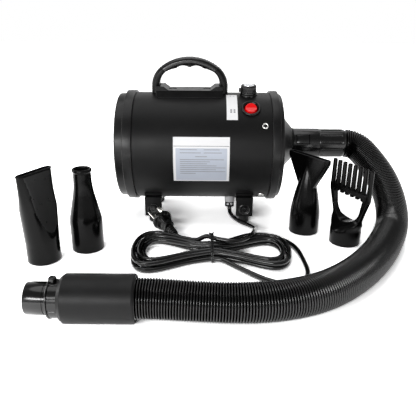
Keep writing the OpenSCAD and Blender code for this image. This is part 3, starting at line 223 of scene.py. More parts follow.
def raw(name, points, faces, place=None):
    """An object from points in a place's millimetres, with its faces turned outwards."""
    me = bpy.data.meshes.new(name)
    me.from_pydata([row(place @ Vector(p) if place else p) for p in points], [], faces)
    bm = bmesh.new()
    bm.from_mesh(me)
    bmesh.ops.remove_doubles(bm, verts=bm.verts, dist=1e-7)
    bmesh.ops.dissolve_degenerate(bm, edges=bm.edges, dist=1e-7)
    bmesh.ops.recalc_face_normals(bm, faces=bm.faces)
    bm.to_mesh(me)
    bm.free()
    ob = bpy.data.objects.new(name, me)
    bpy.context.scene.collection.objects.link(ob)
    return ob


def bake(ob):
    """The object's modifiers become its mesh."""
    done = bpy.data.meshes.new_from_object(ob.evaluated_get(bpy.context.evaluated_depsgraph_get()))
    ob.modifiers.clear()
    ob.data = done
    return ob


def combine(ob, others, how):
    for other in others:
        mod = ob.modifiers.new("bool", "BOOLEAN")
        mod.object = other
        mod.operation = how
        mod.solver = "EXACT"
    bake(ob)
    for other in others:
        bpy.data.objects.remove(other)
    return ob


def melt(ob, voxel, rounds):
    """One skin over everything in the object, with its edges rounded off."""
    mod = ob.modifiers.new("skin", "REMESH")
    mod.mode = "VOXEL"
    mod.voxel_size = voxel / MM
    mod.use_smooth_shade = True
    mod = ob.modifiers.new("round", "SMOOTH")
    mod.factor = 0.5
    mod.iterations = rounds
    return bake(ob)


def piece(ob, skin, body, stands_for=(), sharp=32):
    ob.data.materials.clear()
    ob.data.materials.append(SKIN[skin])
    ob.data.shade_smooth()
    ob.data.set_sharp_from_angle(angle=math.radians(sharp))
    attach(ob, body)
    if stands_for:
        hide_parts(*stands_for)
    return ob


def stand_in(ob, node, sharp=32, skin=None):
    """The object takes over from one CAD node, with its body and skin."""
    return piece(ob, skin or slot_of[node], body_of[node], [node], sharp)


def copied(node, name):
    ob = bpy.data.objects.new(name, nodes[node].data.copy())
    bpy.context.scene.collection.objects.link(ob)
    return ob


def molded(node, name, voxel, rounds):
    return stand_in(melt(copied(node, name), voxel, rounds), node, 60)


def eased(node, name, width, segments=2, angle=40):
    """A CAD node's shape with its edges taken off."""
    ob = copied(node, name)
    bm = bmesh.new()
    bm.from_mesh(ob.data)
    bmesh.ops.remove_doubles(bm, verts=bm.verts, dist=1e-6)
    bmesh.ops.dissolve_limit(bm, angle_limit=math.radians(1), verts=bm.verts, edges=bm.edges)
    bm.to_mesh(ob.data)
    bm.free()
    mod = ob.modifiers.new("edge", "BEVEL")
    mod.width = width / MM
    mod.segments = segments
    mod.limit_method = "ANGLE"
    mod.angle_limit = math.radians(angle)
    return stand_in(bake(ob), node, 35)


def rounded(corners, steps=5):
    """A closed outline from corners (x, y, fillet radius)."""
    out = []
    for i, (x, y, r) in enumerate(corners):
        p = Vector((x, y))
        if not r:
            out.append((x, y))
            continue
        a = (Vector(corners[i - 1][:2]) - p).normalized()
        b = (Vector(corners[(i + 1) % len(corners)][:2]) - p).normalized()
        half = a.angle(b) / 2
        centre = p + (a + b).normalized() * r / math.sin(half)
        v, w = p + a * r / math.tan(half) - centre, p + b * r / math.tan(half) - centre
        turn = v.angle(w)
        for k in range(steps + 1):
            f = k / steps
            q = (v * math.sin((1 - f) * turn) + w * math.sin(f * turn)) / math.sin(turn)
            out.append(tuple(centre + q))
    return out


def spin(outline, n=96, shape=None):
    """Points and faces of a closed outline (r, z) turned about Z; shape may change r by angle and z."""
    points, faces, m = [], [], len(outline)
    for k in range(n):
        a = 2 * math.pi * k / n
        for r, z in outline:
            q = shape(r, z, a) if shape else r
            points.append((q * math.cos(a), q * math.sin(a), z))
        for j in range(m):
            c, d = k * m, (k + 1) % n * m
            faces.append((c + j, d + j, d + (j + 1) % m, c + (j + 1) % m))
    return points, faces


def loft(rings, loop=False):
    """Rings of equal count joined in turn; open ends are closed by flat faces."""
    n, m = len(rings[0]), len(rings)
    faces = []
    for i in range(m if loop else m - 1):
        for k in range(n):
            a, b, c = i * n + k, i * n + (k + 1) % n, (i + 1) % m * n
            faces.append((a, b, c + (k + 1) % n, c + k))
    if not loop:
        faces += [tuple(range(n - 1, -1, -1)), tuple(range((m - 1) * n, m * n))]
    return [p for ring in rings for p in ring], faces


def block(x0, x1, y0, y1, z0, z1):
    ring = [(x0, y0), (x1, y0), (x1, y1), (x0, y1)]
    return loft([[(*q, z) for q in ring] for z in (z0, z1)])


def rod(r, z0, z1, n=64):
    return spin([(0, z0), (r, z0), (r, z1), (0, z1)], n)


def blend01(t):
    t = min(max(t, 0), 1)
    return t * t * (3 - 2 * t)


def cross_frames(path, first_up):
    ways = []
    for i in range(len(path)):
        a, b = path[max(i - 1, 0)], path[min(i + 1, len(path) - 1)]
        ways.append((b - a).normalized())
    ups = []
    u = first_up
    for w in ways:
        u = (u - u.dot(w) * w).normalized()
        ups.append(u)
    return ways, ups


def tube(path, radii, n, first_up):
    """Points and faces of a closed tube along a path, with its own radius at each point."""
    ways, ups = cross_frames(path, first_up)
    points, faces = [], []
    for p, w, u, r in zip(path, ways, ups, radii):
        v = w.cross(u)
        for k in range(n):
            a = 2 * math.pi * k / n
            points.append(p + r * (math.cos(a) * u + math.sin(a) * v))
    for i in range(len(path) - 1):
        for k in range(n):
            a, b = i * n + k, i * n + (k + 1) % n
            faces.append((a, b, b + n, a + n))
    faces.append(tuple(range(n - 1, -1, -1)))
    faces.append(tuple(range((len(path) - 1) * n, len(path) * n)))
    return points, faces


def smooth(p, n):
    """A uniform cubic B-spline over control points, n steps for each."""
    p = [Vector(q) for q in p]
    out = []
    for i in range(1, len(p) - 2):
        last = i == len(p) - 3
        for k in range(n + 1 if last else n):
            t = k / n
            out.append(
                ((1 - t) ** 3 * p[i - 1] + (3 * t**3 - 6 * t * t + 4) * p[i]
                 + (-3 * t**3 + 3 * t * t + 3 * t + 1) * p[i + 1] + t**3 * p[i + 2]) / 6
            )
    return out


def at_lengths(path, lengths):
    runs = [0.0]
    for a, b in zip(path, path[1:]):
        runs.append(runs[-1] + (b - a).length)
    out, i = [], 0
    for s in lengths:
        s = min(max(s, 0), runs[-1])
        while i < len(path) - 2 and runs[i + 1] < s:
            i += 1
        f = (s - runs[i]) / max(runs[i + 1] - runs[i], 1e-9)
        out.append(path[i].lerp(path[i + 1], min(max(f, 0), 1)))
    return out, runs[-1]


# --- Hose ---
OUTLET_Z = 125.5
HANDLE_Y, HANDLE_Z = -340, 28.4
HOSE_R, RIB_DEPTH, HOSE_FLOOR = 23.75, 2.2, 23.95
hose_line = [(x, 0, OUTLET_Z) for x in (179.425, 192.1, 204.775, 217.45, 230.125, 242.8)] + [
    (253, -1.3, 124.2), (261.5, -4.8, 120.6), (268, -9.8, 115.8), (274.5, -16.6, 108.7), (280.5, -24, 101.5),
    (286, -32.5, 94), (291, -43, 86), (295.3, -56, 76.5), (298.5, -71, 65.5), (300, -88, 52.5),
    (298.5, -107, 38.5), (291.5, -130, 27.5), (279, -154, HOSE_FLOOR + 0.2), (266.5, -177, HOSE_FLOOR),
    (253.5, -199.5, HOSE_FLOOR), (239.5, -221, HOSE_FLOOR), (224, -242, HOSE_FLOOR),
    (207.5, -262, HOSE_FLOOR), (189.5, -280.5, HOSE_FLOOR),
    (170, -298, HOSE_FLOOR), (149, -313, HOSE_FLOOR), (126, -324.5, HOSE_FLOOR), (101.5, -333, HOSE_FLOOR),
    (76.5, -339, HOSE_FLOOR + 0.5), (51, -342, HOSE_FLOOR + 1), (25.5, -342.5, HOSE_FLOOR + 1.5),
    (0, -342, HOSE_FLOOR + 2.5), (-25, -341, HOSE_FLOOR + 3.5),
] + [(x, HANDLE_Y, HANDLE_Z) for x in (-48.5, -62.5, -76.5, -90.5, -104.5, -123.5, -137.5)]
hose_fine = smooth(hose_line, 16)
_, hose_total = at_lengths(hose_fine, [0])
HOSE_NECK, HOSE_NECK_R = 49.2, 20.4
RIBS, RIB_SAMPLES, RIB_SIDES = 222, 6, 40
steps = [0, HOSE_NECK / 2, HOSE_NECK - 0.4]
radii = [HOSE_NECK_R] * len(steps)
first_rib = len(steps)
pitch = (hose_total - HOSE_NECK) / RIBS
for i in range(RIBS):
    for k in range(RIB_SAMPLES):
        f = k / RIB_SAMPLES
        steps.append(HOSE_NECK + (i + f) * pitch)
        radii.append(HOSE_R - RIB_DEPTH * abs(2 * f - 1) ** 1.7)
steps.append(hose_total)
radii.append(HOSE_R - RIB_DEPTH)
hose_path, _ = at_lengths(hose_fine, steps)
hose = stand_in(raw("ribbed_hose", *tube(hose_path, radii, RIB_SIDES, Vector((0, 0, 1)))), "hose", 80)
# Faces at the bottom of each rib groove take the darker copy: painted shade in the valleys between ribs.
hose.data.materials.append(SKIN["hose_valley_painted_shade"])
for i, face in enumerate(hose.data.polygons):
    rib_step = i // RIB_SIDES - first_rib
    if len(face.vertices) == 4 and rib_step >= 0 and rib_step % RIB_SAMPLES in (0, RIB_SAMPLES - 1):
        face.material_index = 1

# --- Mains lead ---
MID, CORD_R, LAYER = (16.6, -176), 3.5, 8.1
HANK_HALF, END_STEP = 117, 8.6
WAIST_TOP, WAIST_STEP = 22, 8.8
LOBE, LOBE_STEP = 106, 18
TURNS, REVERSE = 4.5, 2
HANK_START, HANK_PARTS = 1 / 24, 428


def hank_at(s):
    """A point of the hank after s turns; the turns step inwards, drop a layer and come out again."""
    inward = min(s, REVERSE) if s < REVERSE + 0.5 else 2 * REVERSE + 0.5 - s
    t = math.radians(90 + 360 * s)
    c = math.cos(t)
    x = MID[0] + (HANK_HALF - END_STEP * inward) * c
    y = MID[1] + math.sin(t) * (WAIST_TOP - WAIST_STEP * inward + (LOBE - LOBE_STEP * inward) * c * c)
    z = CORD_R + LAYER * (1 - blend01((s - REVERSE) * 2)) + 1.7 * math.exp(-(((x - MID[0]) / 14) ** 2))
    return Vector((x, y, z))


hank = [hank_at(HANK_START + i * (TURNS - HANK_START) / HANK_PARTS) for i in range(HANK_PARTS + 1)]
way_in = (hank_at(HANK_START + 0.002) - hank[0]).normalized()
way_out = (hank[-1] - hank_at(TURNS - 0.002)).normalized()
PLUG_AT = Vector((-66.7, -81.5, 18))
turn, rise = math.radians(127.3), math.radians(16.4)
plug_way = Vector((math.cos(rise) * math.cos(turn), math.cos(rise) * math.sin(turn), math.sin(rise)))
start_line = [(46.6, -31, z) for z in (41, 33.5, 26.5, 19.5)] + [
    (46.7, -34, 13.5), (48.5, -42, 10.5), (52.5, -54, 10), (59, -64.5, 8.5), (67, -70.5, 7), (76, -76, 5.5),
    (83, -86, 6), (86, -99, 9.5), (84.5, -113, 13.5), (81.5, -128, 17.5), (78, -142, 20), (71.5, -155, 20.2),
    (60, -166, 20), (46, -171.5, 20.2), (31, -169.5, 21.6), (18, -163.5, 21.8), (6.5, -154.5, 23),
] + [hank[0] + d * way_in for d in (-9, 0, 9)]
end_line = [hank[-1] + d * way_out for d in (-12, 0, 12)] + [
    (41, -208.5, 3.5), (53, -220.5, 3.5), (66, -233, 3.5), (79, -246, 3.5), (94, -257, 3.5),
    (110, -264.5, 3.5), (127, -264, 3.5), (139.5, -253, 3.5), (145, -237, 3.5), (147, -220, 3.5),
    (146.5, -202, 3.5),
    (145.5, -183, 3.5), (143.5, -164, 3.5), (138.5, -146, 3.5), (128, -130, 3.5), (113, -117, 3.5),
    (96, -109, 3.5), (79, -109.5, 3.5), (62, -118, 3.5), (46, -131, 3.5), (31, -143, 4.5), (15, -148, 5.5),
    (-1, -146.5, 4.5), (-15, -141.5, 3.5), (-27, -133, 3.7),
] + [PLUG_AT - (38 + d) * plug_way for d in (12, 0, -12)]
lead_path = smooth(start_line, 5)[:-1] + hank + smooth(end_line, 5)[1:]
lead_tube = tube(lead_path, [CORD_R] * len(lead_path), 14, Vector((1, 0, 0)))
lead_nodes = ["lead_start", "lead_hank", "lead_end"]
lead = piece(raw("mains_lead", *lead_tube), "cord_black", "casing", lead_nodes, 80)

# --- Barrel caps and outlet ---
AXIS_Z, HALF = 120.5, 109


def cap_corners(ring_w, end):
    ring, drum, inner = 91, 86, 83
    return [
        (88.2, -0.2, 0.3), (ring, -0.2, 1.1), (ring, ring_w, 1.1), (drum, ring_w, 0.5), (drum, end, 3.2),
        (70, end, 1), (70, end - 3, 0.5), (inner, end - 3, 0.5), (inner, 10.4, 0), (88.2, 10.4, 0),
    ]


intake_end, outlet_end = 28, 19
intake_place = at((-HALF, 0, AXIS_Z), (-1, 0, 0), (0, 0, 1))
intake_corners = cap_corners(14.5, intake_end)
stand_in(raw("intake_end_cap", *spin(rounded(intake_corners), 160), intake_place), "intake_cap")
outlet_corners = cap_corners(12.5, outlet_end)
outlet_corners[5:7] = [(35, outlet_end, 0.5), (35, outlet_end - 3, 0)]
outlet_place = at((HALF, 0, AXIS_Z), (1, 0, 0), (0, 0, 1))
stand_in(raw("outlet_end_cap", *spin(rounded(outlet_corners), 160), outlet_place), "outlet_cap")
NECK_X, GROOVE_X, FLARE_LEN = 128.2, 20.9, 23.3
flare = []
for i in range(25):
    t = i / 24
    ends, bend = (1 - t) ** 2, 2 * t * (1 - t)
    flare.append((ends * 54 + bend * 33.1 + t * t * 25.6, ends * 0.8 + bend * 13.5 + t * t * FLARE_LEN))
low = [q for q in flare if q[1] < GROOVE_X - 0.4]
neck = [(38, -3), (40, -3), (40, 0), (53.4, 0)] + low + [
    (25.75, GROOVE_X - 0.3), (25.3, GROOVE_X), (24.6, GROOVE_X + 0.2), (24.6, GROOVE_X + 0.9),
    (25.3, GROOVE_X + 1.1), (25.6, GROOVE_X + 1.3), (25.6, FLARE_LEN - 0.2), (25.2, FLARE_LEN),
    (21.5, FLARE_LEN), (21.5, 47.8), (21, 48.3), (18.9, 48.3), (18.9, 15),
]


def on_outlet(x):
    return at((x, 0, OUTLET_Z), (1, 0, 0), (0, 0, 1))


stand_in(raw("outlet_flare", *spin(neck, 128), on_outlet(NECK_X)), "outlet_neck", 45)

# --- Hose connector and cuff ---
TAB_TURN = math.radians(28)
tab_way = Vector((0, -math.cos(TAB_TURN), math.sin(TAB_TURN)))
tab_place = at((0, 0, OUTLET_Z), tab_way, (1, 0, 0))
connector_corners = [
    (21.8, 0, 0.4), (24.7, 0, 0.7), (24.7, 43, 0.6), (22.5, 43, 0), (22.5, 39.8, 0), (18.6, 39.8, 0),
    (18.6, 27, 0), (21.8, 27, 0),
]
connector = raw("connector_shell", *spin(rounded(connector_corners), 128), on_outlet(151.8))
combine(connector, [raw("slot", *block(155.7, 177.9, -8.1, 8.1, 18, 28), tab_place)], "DIFFERENCE")
stand_in(connector, "hose_connector")
eased("lock_tab", "connector_tab", 0.35)


def groove_gap(a, r, count):
    """Distance along the surface from angle a to the nearest of count grooves."""
    return abs((a * count / (2 * math.pi)) % 1 - 0.5) * 2 * math.pi / count * r


def fluted(r, z, a):
    """Shallow grooves along the cuff's outside."""
    if r < 23:
        return r
    off = groove_gap(a, r, 12)
    fade = blend01((z - 3) / 1.5) * blend01((38.5 - z) / 1.5)
    return r - 1.1 * fade * math.exp(-((off / 1.25) ** 4))


cuff_low = [(20.6, -3), (22.3, -3), (22.3, 0), (23.3, 0), (23.75, 0.5)]
cuff_z = [1.5, 2.5, 3, 3.5, 4, 4.5, 10, 20, 30, 36.5, 37, 37.5, 38, 38.5, 40]
cuff = cuff_low + [(23.75, z) for z in cuff_z] + [(23.5, 41), (21.9, 45), (21.6, 45.3), (20.6, 45.3)]
stand_in(raw("cuff_sleeve", *spin(cuff, 432, fluted), on_outlet(195)), "hose_cuff", 50)

# --- Hose handle ---
handle_place = at((-154.5, HANDLE_Y, HANDLE_Z), (1, 0, 0), (0, 0, 1))
sleeve_corners = [
    (20.8, 0, 0), (24.8, 0, 0.8), (28.4, 4.6, 1.6), (28.4, 82, 0.9), (27.2, 84, 0.5), (25.9, 84, 0.3),
    (25.9, 82.5, 0), (24.05, 82.5, 0), (24.05, 29, 0), (20.8, 29, 0),
]
stand_in(raw("handle_sleeve", *spin(rounded(sleeve_corners), 144), handle_place), "grip_sleeve", 50)


def panelled(r, z, a):
    """Raised lands between lengthwise grooves round the collar."""
    if r < 21.5 or not -10.4 < z < -0.5:
        return r
    off = groove_gap(a, r, 9)
    return r - 0.8 * math.exp(-((off / 1.1) ** 4))


collar = [(19.2, -13.2), (22, -13.2), (22.7, -12.9), (23, -12.2), (23, -11.4), (22.5, -11), (21.8, -10.9)]
collar += [(21.9, z) for z in (-10.5, -10.2, -9, -6, -3, -1)]
collar += [(21.9, -0.4), (20.6, -0.2), (20.6, 18), (19.2, 18)]
collar_ob = raw("collar_ring", *spin(collar, 432, panelled), handle_place)
seat_place = at((-162.5, HANDLE_Y, HANDLE_Z), (0, 0, 1), (1, 0, 0))
combine(collar_ob, [raw("hole", *rod(5.1, 15, 30), seat_place)], "DIFFERENCE")
stand_in(collar_ob, "tip_collar", 50)
tip = [
    (16.5, -39), (17.6, -39), (18.5, -38.6), (19, -37.6), (19, -17.4), (18.3, -17), (18.3, -16), (19, -15.6),
    (19, 15.8), (16.5, 15.8),
]
stand_in(raw("tip_tube", *spin(tip, 128), handle_place), "hose_tip", 50, "tip_black")
latch = [
    (0, 20.9), (4.7, 20.9), (4.8, 21.2), (4.8, 25.4), (4.6, 26.3), (4, 27), (3.1, 27.4), (1.6, 27.6),
    (0, 27.6),
]
stand_in(raw("latch_cap", *spin(latch, 64), seat_place), "latch_button", 60)

# --- Carrying handle ---
CARRY_X, GRIP_HALF, GRIP_DEPTH = -21.3, 7.25, 11


def arc_points(x, z, radius, a0, a1, n=24):
    turns = [math.radians(a0 + (a1 - a0) * i / n) for i in range(n + 1)]
    return [Vector((x + radius * math.cos(a), z + radius * math.sin(a))) for a in turns]


left_line = [Vector((-55, 195)), Vector((-55, 218.4))] + arc_points(-22.5, 218.5, 32.5, 180, 126.87)
right_line = [Vector((-q.x, q.y)) for q in reversed(left_line)]
grip_line = left_line + arc_points(0, 188.5, 70, 126.8, 53.2) + right_line


def rolled(node, name, power=2.3):
    """The handle's square section becomes a superellipse round its centre line."""
    ob = melt(copied(node, name), 0.6, 5)
    for v in ob.data.vertices:
        spot = layout(v.co)
        p, y = Vector((spot.x - CARRY_X, spot.z)), spot.y
        near = None
        for a, b in zip(grip_line, grip_line[1:]):
            d = b - a
            q = a + d * min(max((p - a).dot(d) / d.length_squared, 0), 1)
            if near is None or (p - q).length < (p - near).length:
                near = q
        u, w = (p - near).length / GRIP_HALF, abs(y) / GRIP_DEPTH
        f = max(u, w) / max((u**power + w**power) ** (1 / power), 1e-6)
        p = near + (p - near) * f
        v.co = row((p.x + CARRY_X, y * f, p.y))
    return stand_in(ob, node, 60)


rolled("handle_grip", "finger_grip")
rolled("handle_legs", "handle_arms")
molded("handle_base", "handle_foot", 0.5, 5)

# --- Controls ---
def on_barrel(x, angle):
    a = math.radians(angle)
    return at((x, 0, AXIS_Z), (0, -math.cos(a), math.sin(a)), (1, 0, 0))


knob_place = on_barrel(73.7, 82)
knob_ring = rounded([(5, 84, 0), (14.2, 84, 0), (14.2, 90.2, 0.8), (5, 90.2, 0.3)])
stand_in(raw("knob_ring", *spin(knob_ring, 96), knob_place), "knob_collar")


def knurled(r, z, a):
    """Narrow finger grooves round the knob's side."""
    if r < 10.4 or z < 94:
        return r
    off = groove_gap(a, r, 20)
    return r - 0.55 * math.exp(-((off / 0.75) ** 2))


knob = [(3.05, 90.5), (12.9, 90.5), (13.3, 90.9), (13.3, 92.6), (13.1, 93.2), (12.7, 93.5), (12.6, 94.2)]
knob += [(12.6, z) for z in (95, 98, 101)]
knob += [(12.4, 102.4), (11.9, 103.4), (11.2, 103.9), (10.4, 104), (9.4, 103.9), (9.1, 103.5), (8.9, 102.5)]
knob += [(3.05, 102.5)]
knob_ob = raw("speed_dial", *spin(knob, 240, knurled), knob_place)
nub = raw("nub", *block(-15.7, -9, -1.4, 1.4, 92.5, 99), knob_place)
combine(knob_ob, [nub], "UNION")
stand_in(knob_ob, "speed_knob", 40)
dial_cap = [
    (0, 102.7), (8.6, 102.7), (8.7, 103), (8.7, 104), (8.4, 104.4), (7.8, 104.5), (7, 104.35), (3, 104.2),
    (0, 104.15),
]
stand_in(raw("dial_cap", *spin(dial_cap, 96), knob_place), "knob_cap", 50)
switch_place = on_barrel(75.7, 54)
bezel = [
    (12.9, 64), (12.9, 84), (15.3, 84), (15.3, 89.6), (15, 90.5), (14.3, 91), (13.4, 91), (12.6, 90.7),
    (11.6, 90), (10.9, 89.2), (10.6, 88), (10.6, 73), (0, 73), (0, 64),
]
stand_in(raw("switch_bezel", *spin(bezel, 128), switch_place), "switch_housing", 50)
molded("switch_rocker", "switch_button", 0.3, 10)

# --- Feet, gland, screws, washers ---
eased("foot_brackets", "bent_brackets", 0.7, 3)
molded("rubber_feet", "foot_blocks", 0.45, 10)
boss = [
    (0.01, 0), (9.2, 0), (9.5, 0.9), (9.2, 2), (8.5, 2.4), (7.7, 2), (7.1, 1.2), (6.2, 0.8), (5.3, 0.8),
    (5.1, 2.4), (4.6, 3), (3, 3), (2.7, 2.7), (2.5, 1.5), (0.01, 1.5),
]
points, faces = [], []
for x in (-81.2, 70.2):
    for way in (-1, 1):
        spot = at((x, way * 60, 26.5), (0, way, 0), (1, 0, 0))
        q, f = spin(boss, 48)
        faces += [tuple(j + len(points) for j in g) for g in f]
        points += [spot @ Vector(v) for v in q]
piece(raw("foot_bolt_heads", points, faces), "screw_dark", "casing", ["foot_bolts"], 40)
eased("case_screws", "screws", 0.3).data.materials[0] = SKIN["screw_dark"]
eased("gland_screws", "clamp_screws", 0.25)
eased("cable_gland", "gland_nut", 0.7)
molded("gland_clamp", "lead_clamp", 0.35, 6)
eased("intake_grille", "grille", 0.4)
cup = [
    (1.9, 88.6), (1.9, 89.2), (2.6, 89.3), (3.4, 89.9), (3.9, 90.1), (4.4, 89.95), (4.85, 89.2), (5, 88.2),
    (3, 88.2),
]
for i, angle in enumerate((33.5, -51.2, 146.5, 231.2)):
    washer = raw(f"cup_washer_{i}", *spin(cup, 64), on_barrel(97, angle))
    piece(washer, "washer_nickel", "casing", ["cup_washers"], 60)

# --- Labels ---
def patch(x0, x1, a0, a1, r, thick=0.05, steps=1):
    """A sheet on the barrel between two angles."""
    rings = []
    for k in range(steps + 1):
        a = math.radians(a0 + (a1 - a0) * k / steps)
        y, z = -math.cos(a), math.sin(a)
        corners = ((x0, r), (x1, r), (x1, r + thick), (x0, r + thick))
        rings.append([(x, y * q, AXIS_Z + z * q) for x, q in corners])
    return loft(rings)


def sheets(name, patches):
    points, faces = [], []
    for p, f in patches:
        faces += [tuple(i + len(points) for i in q) for q in f]
        points += p
    return raw(name, points, faces)


PLATE_X, PLATE_A = (-44.7, 42.5), (22, -25.5)


def on_plate(u0, u1, v0, v1, r):
    """Part of the plate, with u from the left and v from the top, 0 to 1."""
    x = [PLATE_X[0] + u * (PLATE_X[1] - PLATE_X[0]) for u in (u0, u1)]
    a = [PLATE_A[0] + v * (PLATE_A[1] - PLATE_A[0]) for v in (v0, v1)]
    return patch(*x, a[1], a[0], r, steps=max(1, round(24 * (v1 - v0))))


stand_in(raw("plate", *patch(*PLATE_X, PLATE_A[1], PLATE_A[0], 88.05, 0.4, 24)), "rating_plate", 20)
piece(sheets("plate_panel", [on_plate(0.045, 0.955, 0.235, 0.975, 88.42)]), "label_tint", "casing")
rule_ends = (0.9, 0.65, 0.6, 0.77, 0.93, 0.76, 0.93, 0.4)
rules = [(0.12, 0.42, 0.265), (0.54, 0.82, 0.265), (0.12, 0.49, 0.33), (0.54, 0.86, 0.33), (0.39, 0.6, 0.41)]
rules += [(0.12, u, 0.475 + 0.0455 * i) for i, u in enumerate(rule_ends)]
ruled = [on_plate(u0, u1, v - 0.006, v + 0.006, 88.45) for u0, u1, v in rules]
ruled.append(on_plate(0.01, 0.99, 0.185, 0.197, 88.45))
piece(sheets("plate_lines", ruled), "label_ink", "casing")
stand_in(raw("dial_label", *patch(37.7, 54.7, 40, 79.4, 88.05, 0.4, 24)), "scale_label", 20)
marks = [(x, x + 2.9, a, a + 1.9) for x in (43.2, 48.3) for a in (48.4, 51)]
marks += [(x, x + 2.4, 75.6, 76.5) for x in (43.2, 48.3)]
marked = [patch(x0, x1, a0, a1, 88.42) for x0, x1, a0, a1 in marks]
piece(sheets("dial_marks", marked), "label_ink", "casing")

# --- Nozzles ---
def standing(p, heading):
    a = math.radians(heading)
    return at((*p, 0), (0, 0, 1), (math.cos(a), math.sin(a), 0))


def soft_min(a, b, power=26):
    a = max(a, 1e-6)
    return (a**-power + b**-power) ** (-1 / power)


NOZZLE_R, SOCKET_R, WALL = 23.5, 18.6, 2.2
FLAT_SIDE = [(0, 40), (42, NOZZLE_R), (131, 5.5)]


def straight(z, knots):
    for (z0, v0), (z1, v1) in zip(knots, knots[1:]):
        if z <= z1:
            return v0 + (v1 - v0) * (z - z0) / (z1 - z0)
    return knots[-1][1]


def flat_ring(z, inset, n=112):
    w = straight(z, [(0, NOZZLE_R), (26, NOZZLE_R), (131, 30)]) - inset
    h = straight(z, FLAT_SIDE) - inset
    b = straight(z, [(0, NOZZLE_R), (80, NOZZLE_R), (102, 15.4), (131, 8.9)]) - inset
    ring = []
    for k in range(n):
        a = 2 * math.pi * k / n
        y = b * math.sin(a)
        ring.append((w * math.cos(a), math.copysign(soft_min(abs(y), h), y), z))
    return ring


def circle(r, z, n=112):
    return [(r * math.cos(2 * math.pi * k / n), r * math.sin(2 * math.pi * k / n), z) for k in range(n)]


outer = [circle(22.9, 0), circle(NOZZLE_R, 0.6)] + [flat_ring(z, 0) for z in range(4, 130, 2)]
outer += [flat_ring(128.4, 0), flat_ring(129, -0.5), flat_ring(130.2, -0.6), flat_ring(131, -0.1)]
inner = [flat_ring(131.3, 0.9), flat_ring(131, 1.8), flat_ring(130.2, 2.2)]
inner += [flat_ring(z, WALL) for z in range(128, 27, -4)]
inner += [circle(SOCKET_R + 2, 26.2), circle(SOCKET_R, 26), circle(SOCKET_R, 0.6), circle(SOCKET_R + 0.5, 0)]
flat_place = standing((-224.2, -189.9), 62)
flat = stand_in(raw("flat_mouthpiece", *loft(outer + inner, loop=True), flat_place), "flat_nozzle", 60)
# The flat faces take the lighter copy: painted sheen on the flats.
flat.data.materials.append(SKIN["facet_painted_sheen"])
inward = flat_place.inverted()
for face in flat.data.polygons:
    c = inward @ layout(face.center)
    n = inward.to_3x3() @ face.normal
    h = straight(c.z, FLAT_SIDE)
    if abs(n.y) > 0.93 and abs(abs(c.y) - h) < 0.35 and 36 < c.z < 129.5:
        face.material_index = 1

round_knots = [
    (0.8, NOZZLE_R), (10, NOZZLE_R), (27, NOZZLE_R), (44, NOZZLE_R), (52, 22.6), (62, 20.5), (75, 17.7),
    (88, 15), (100, 13.4), (111, 12.9), (118, 12.6),
]


def eased_curve(knots, n=6):
    """A smooth run through knots (z, r)."""
    out = []
    for i in range(len(knots) - 1):
        p = [Vector(knots[min(max(j, 0), len(knots) - 1)]) for j in (i - 1, i, i + 1, i + 2)]
        for k in range(n):
            t = k / n
            q = 0.5 * (2 * p[1] + (p[2] - p[0]) * t + (2 * p[0] - 5 * p[1] + 4 * p[2] - p[3]) * t * t
                       + (3 * p[1] - p[0] - 3 * p[2] + p[3]) * t**3)
            out.append((q[1], q[0]))
    return out


side_line = eased_curve(round_knots)
round_rim = [
    (12.6, 118.6), (13.3, 119.2), (13.9, 120.2), (14.1, 121.5), (13.9, 122.9), (13.2, 123.7), (12.3, 124),
    (11.2, 123.6), (10.7, 122.6),
]
profile = [(19.1, 0), (22.9, 0), (23.3, 0.25)] + side_line + round_rim
profile += [(r - WALL, z) for r, z in reversed(side_line) if z > 27]
profile += [(20.6, 26.2), (SOCKET_R, 26), (SOCKET_R, 0.5)]
stand_in(raw("round_mouthpiece", *spin(profile, 112), standing((-170.1, -152.1), 0)), "round_nozzle", 60)


def oblong(w, h, z, n=96, power=5):
    """A rounded rectangle of half sizes w and h."""
    ring = []
    for k in range(n):
        a = 2 * math.pi * k / n
        c, s = math.cos(a), math.sin(a)
        q = (abs(c) ** power + abs(s) ** power) ** (-1 / power)
        ring.append((w * c * q, h * s * q, z))
    return ring


fan_place = standing((166.1, -83.7), -55.7)
fan_wing = [(z, 16 + 25 * (z - 78) / 42) for z in range(72, 121, 3)]
wings = loft([oblong(w, 5.5, z, power=8) for z, w in fan_wing]
             + [oblong(41, 5.5, z, power=8) for z in (121, 126.3)] + [oblong(40.7, 5.2, 127, power=8)])
ridge_knots = [
    (26, NOZZLE_R), (38, 22.9), (50, 21.2), (62, 18.9), (74, 16.2), (86, 13), (97, 9.6), (106, 6.6),
    (112, 4.6),
]
ridge = eased_curve(ridge_knots, 3)
bullet = [(22.9, 0), (NOZZLE_R, 0.6)] + ridge + [(4.4, 112)]
fan = raw("fan_mouthpiece", *loft([circle(r, z, 96) for r, z in bullet]), fan_place)
combine(fan, [raw("wings", *wings, fan_place)], "UNION")
room_rings = [oblong(9, 3.3, 70)] + [oblong(w - 2.4, 3.3, z, power=8) for z, w in fan_wing[2:]]
room = loft(room_rings + [oblong(38.6, 3.3, 130, power=8)])
combine(fan, [raw("room", *room, fan_place), raw("socket", *rod(SOCKET_R, -1, 26, 96), fan_place),
              raw("bore", *loft([circle(18.5, 25.9), circle(13, 80)]), fan_place)], "DIFFERENCE")
stand_in(melt(fan, 0.75, 3), "fan_nozzle", 60)

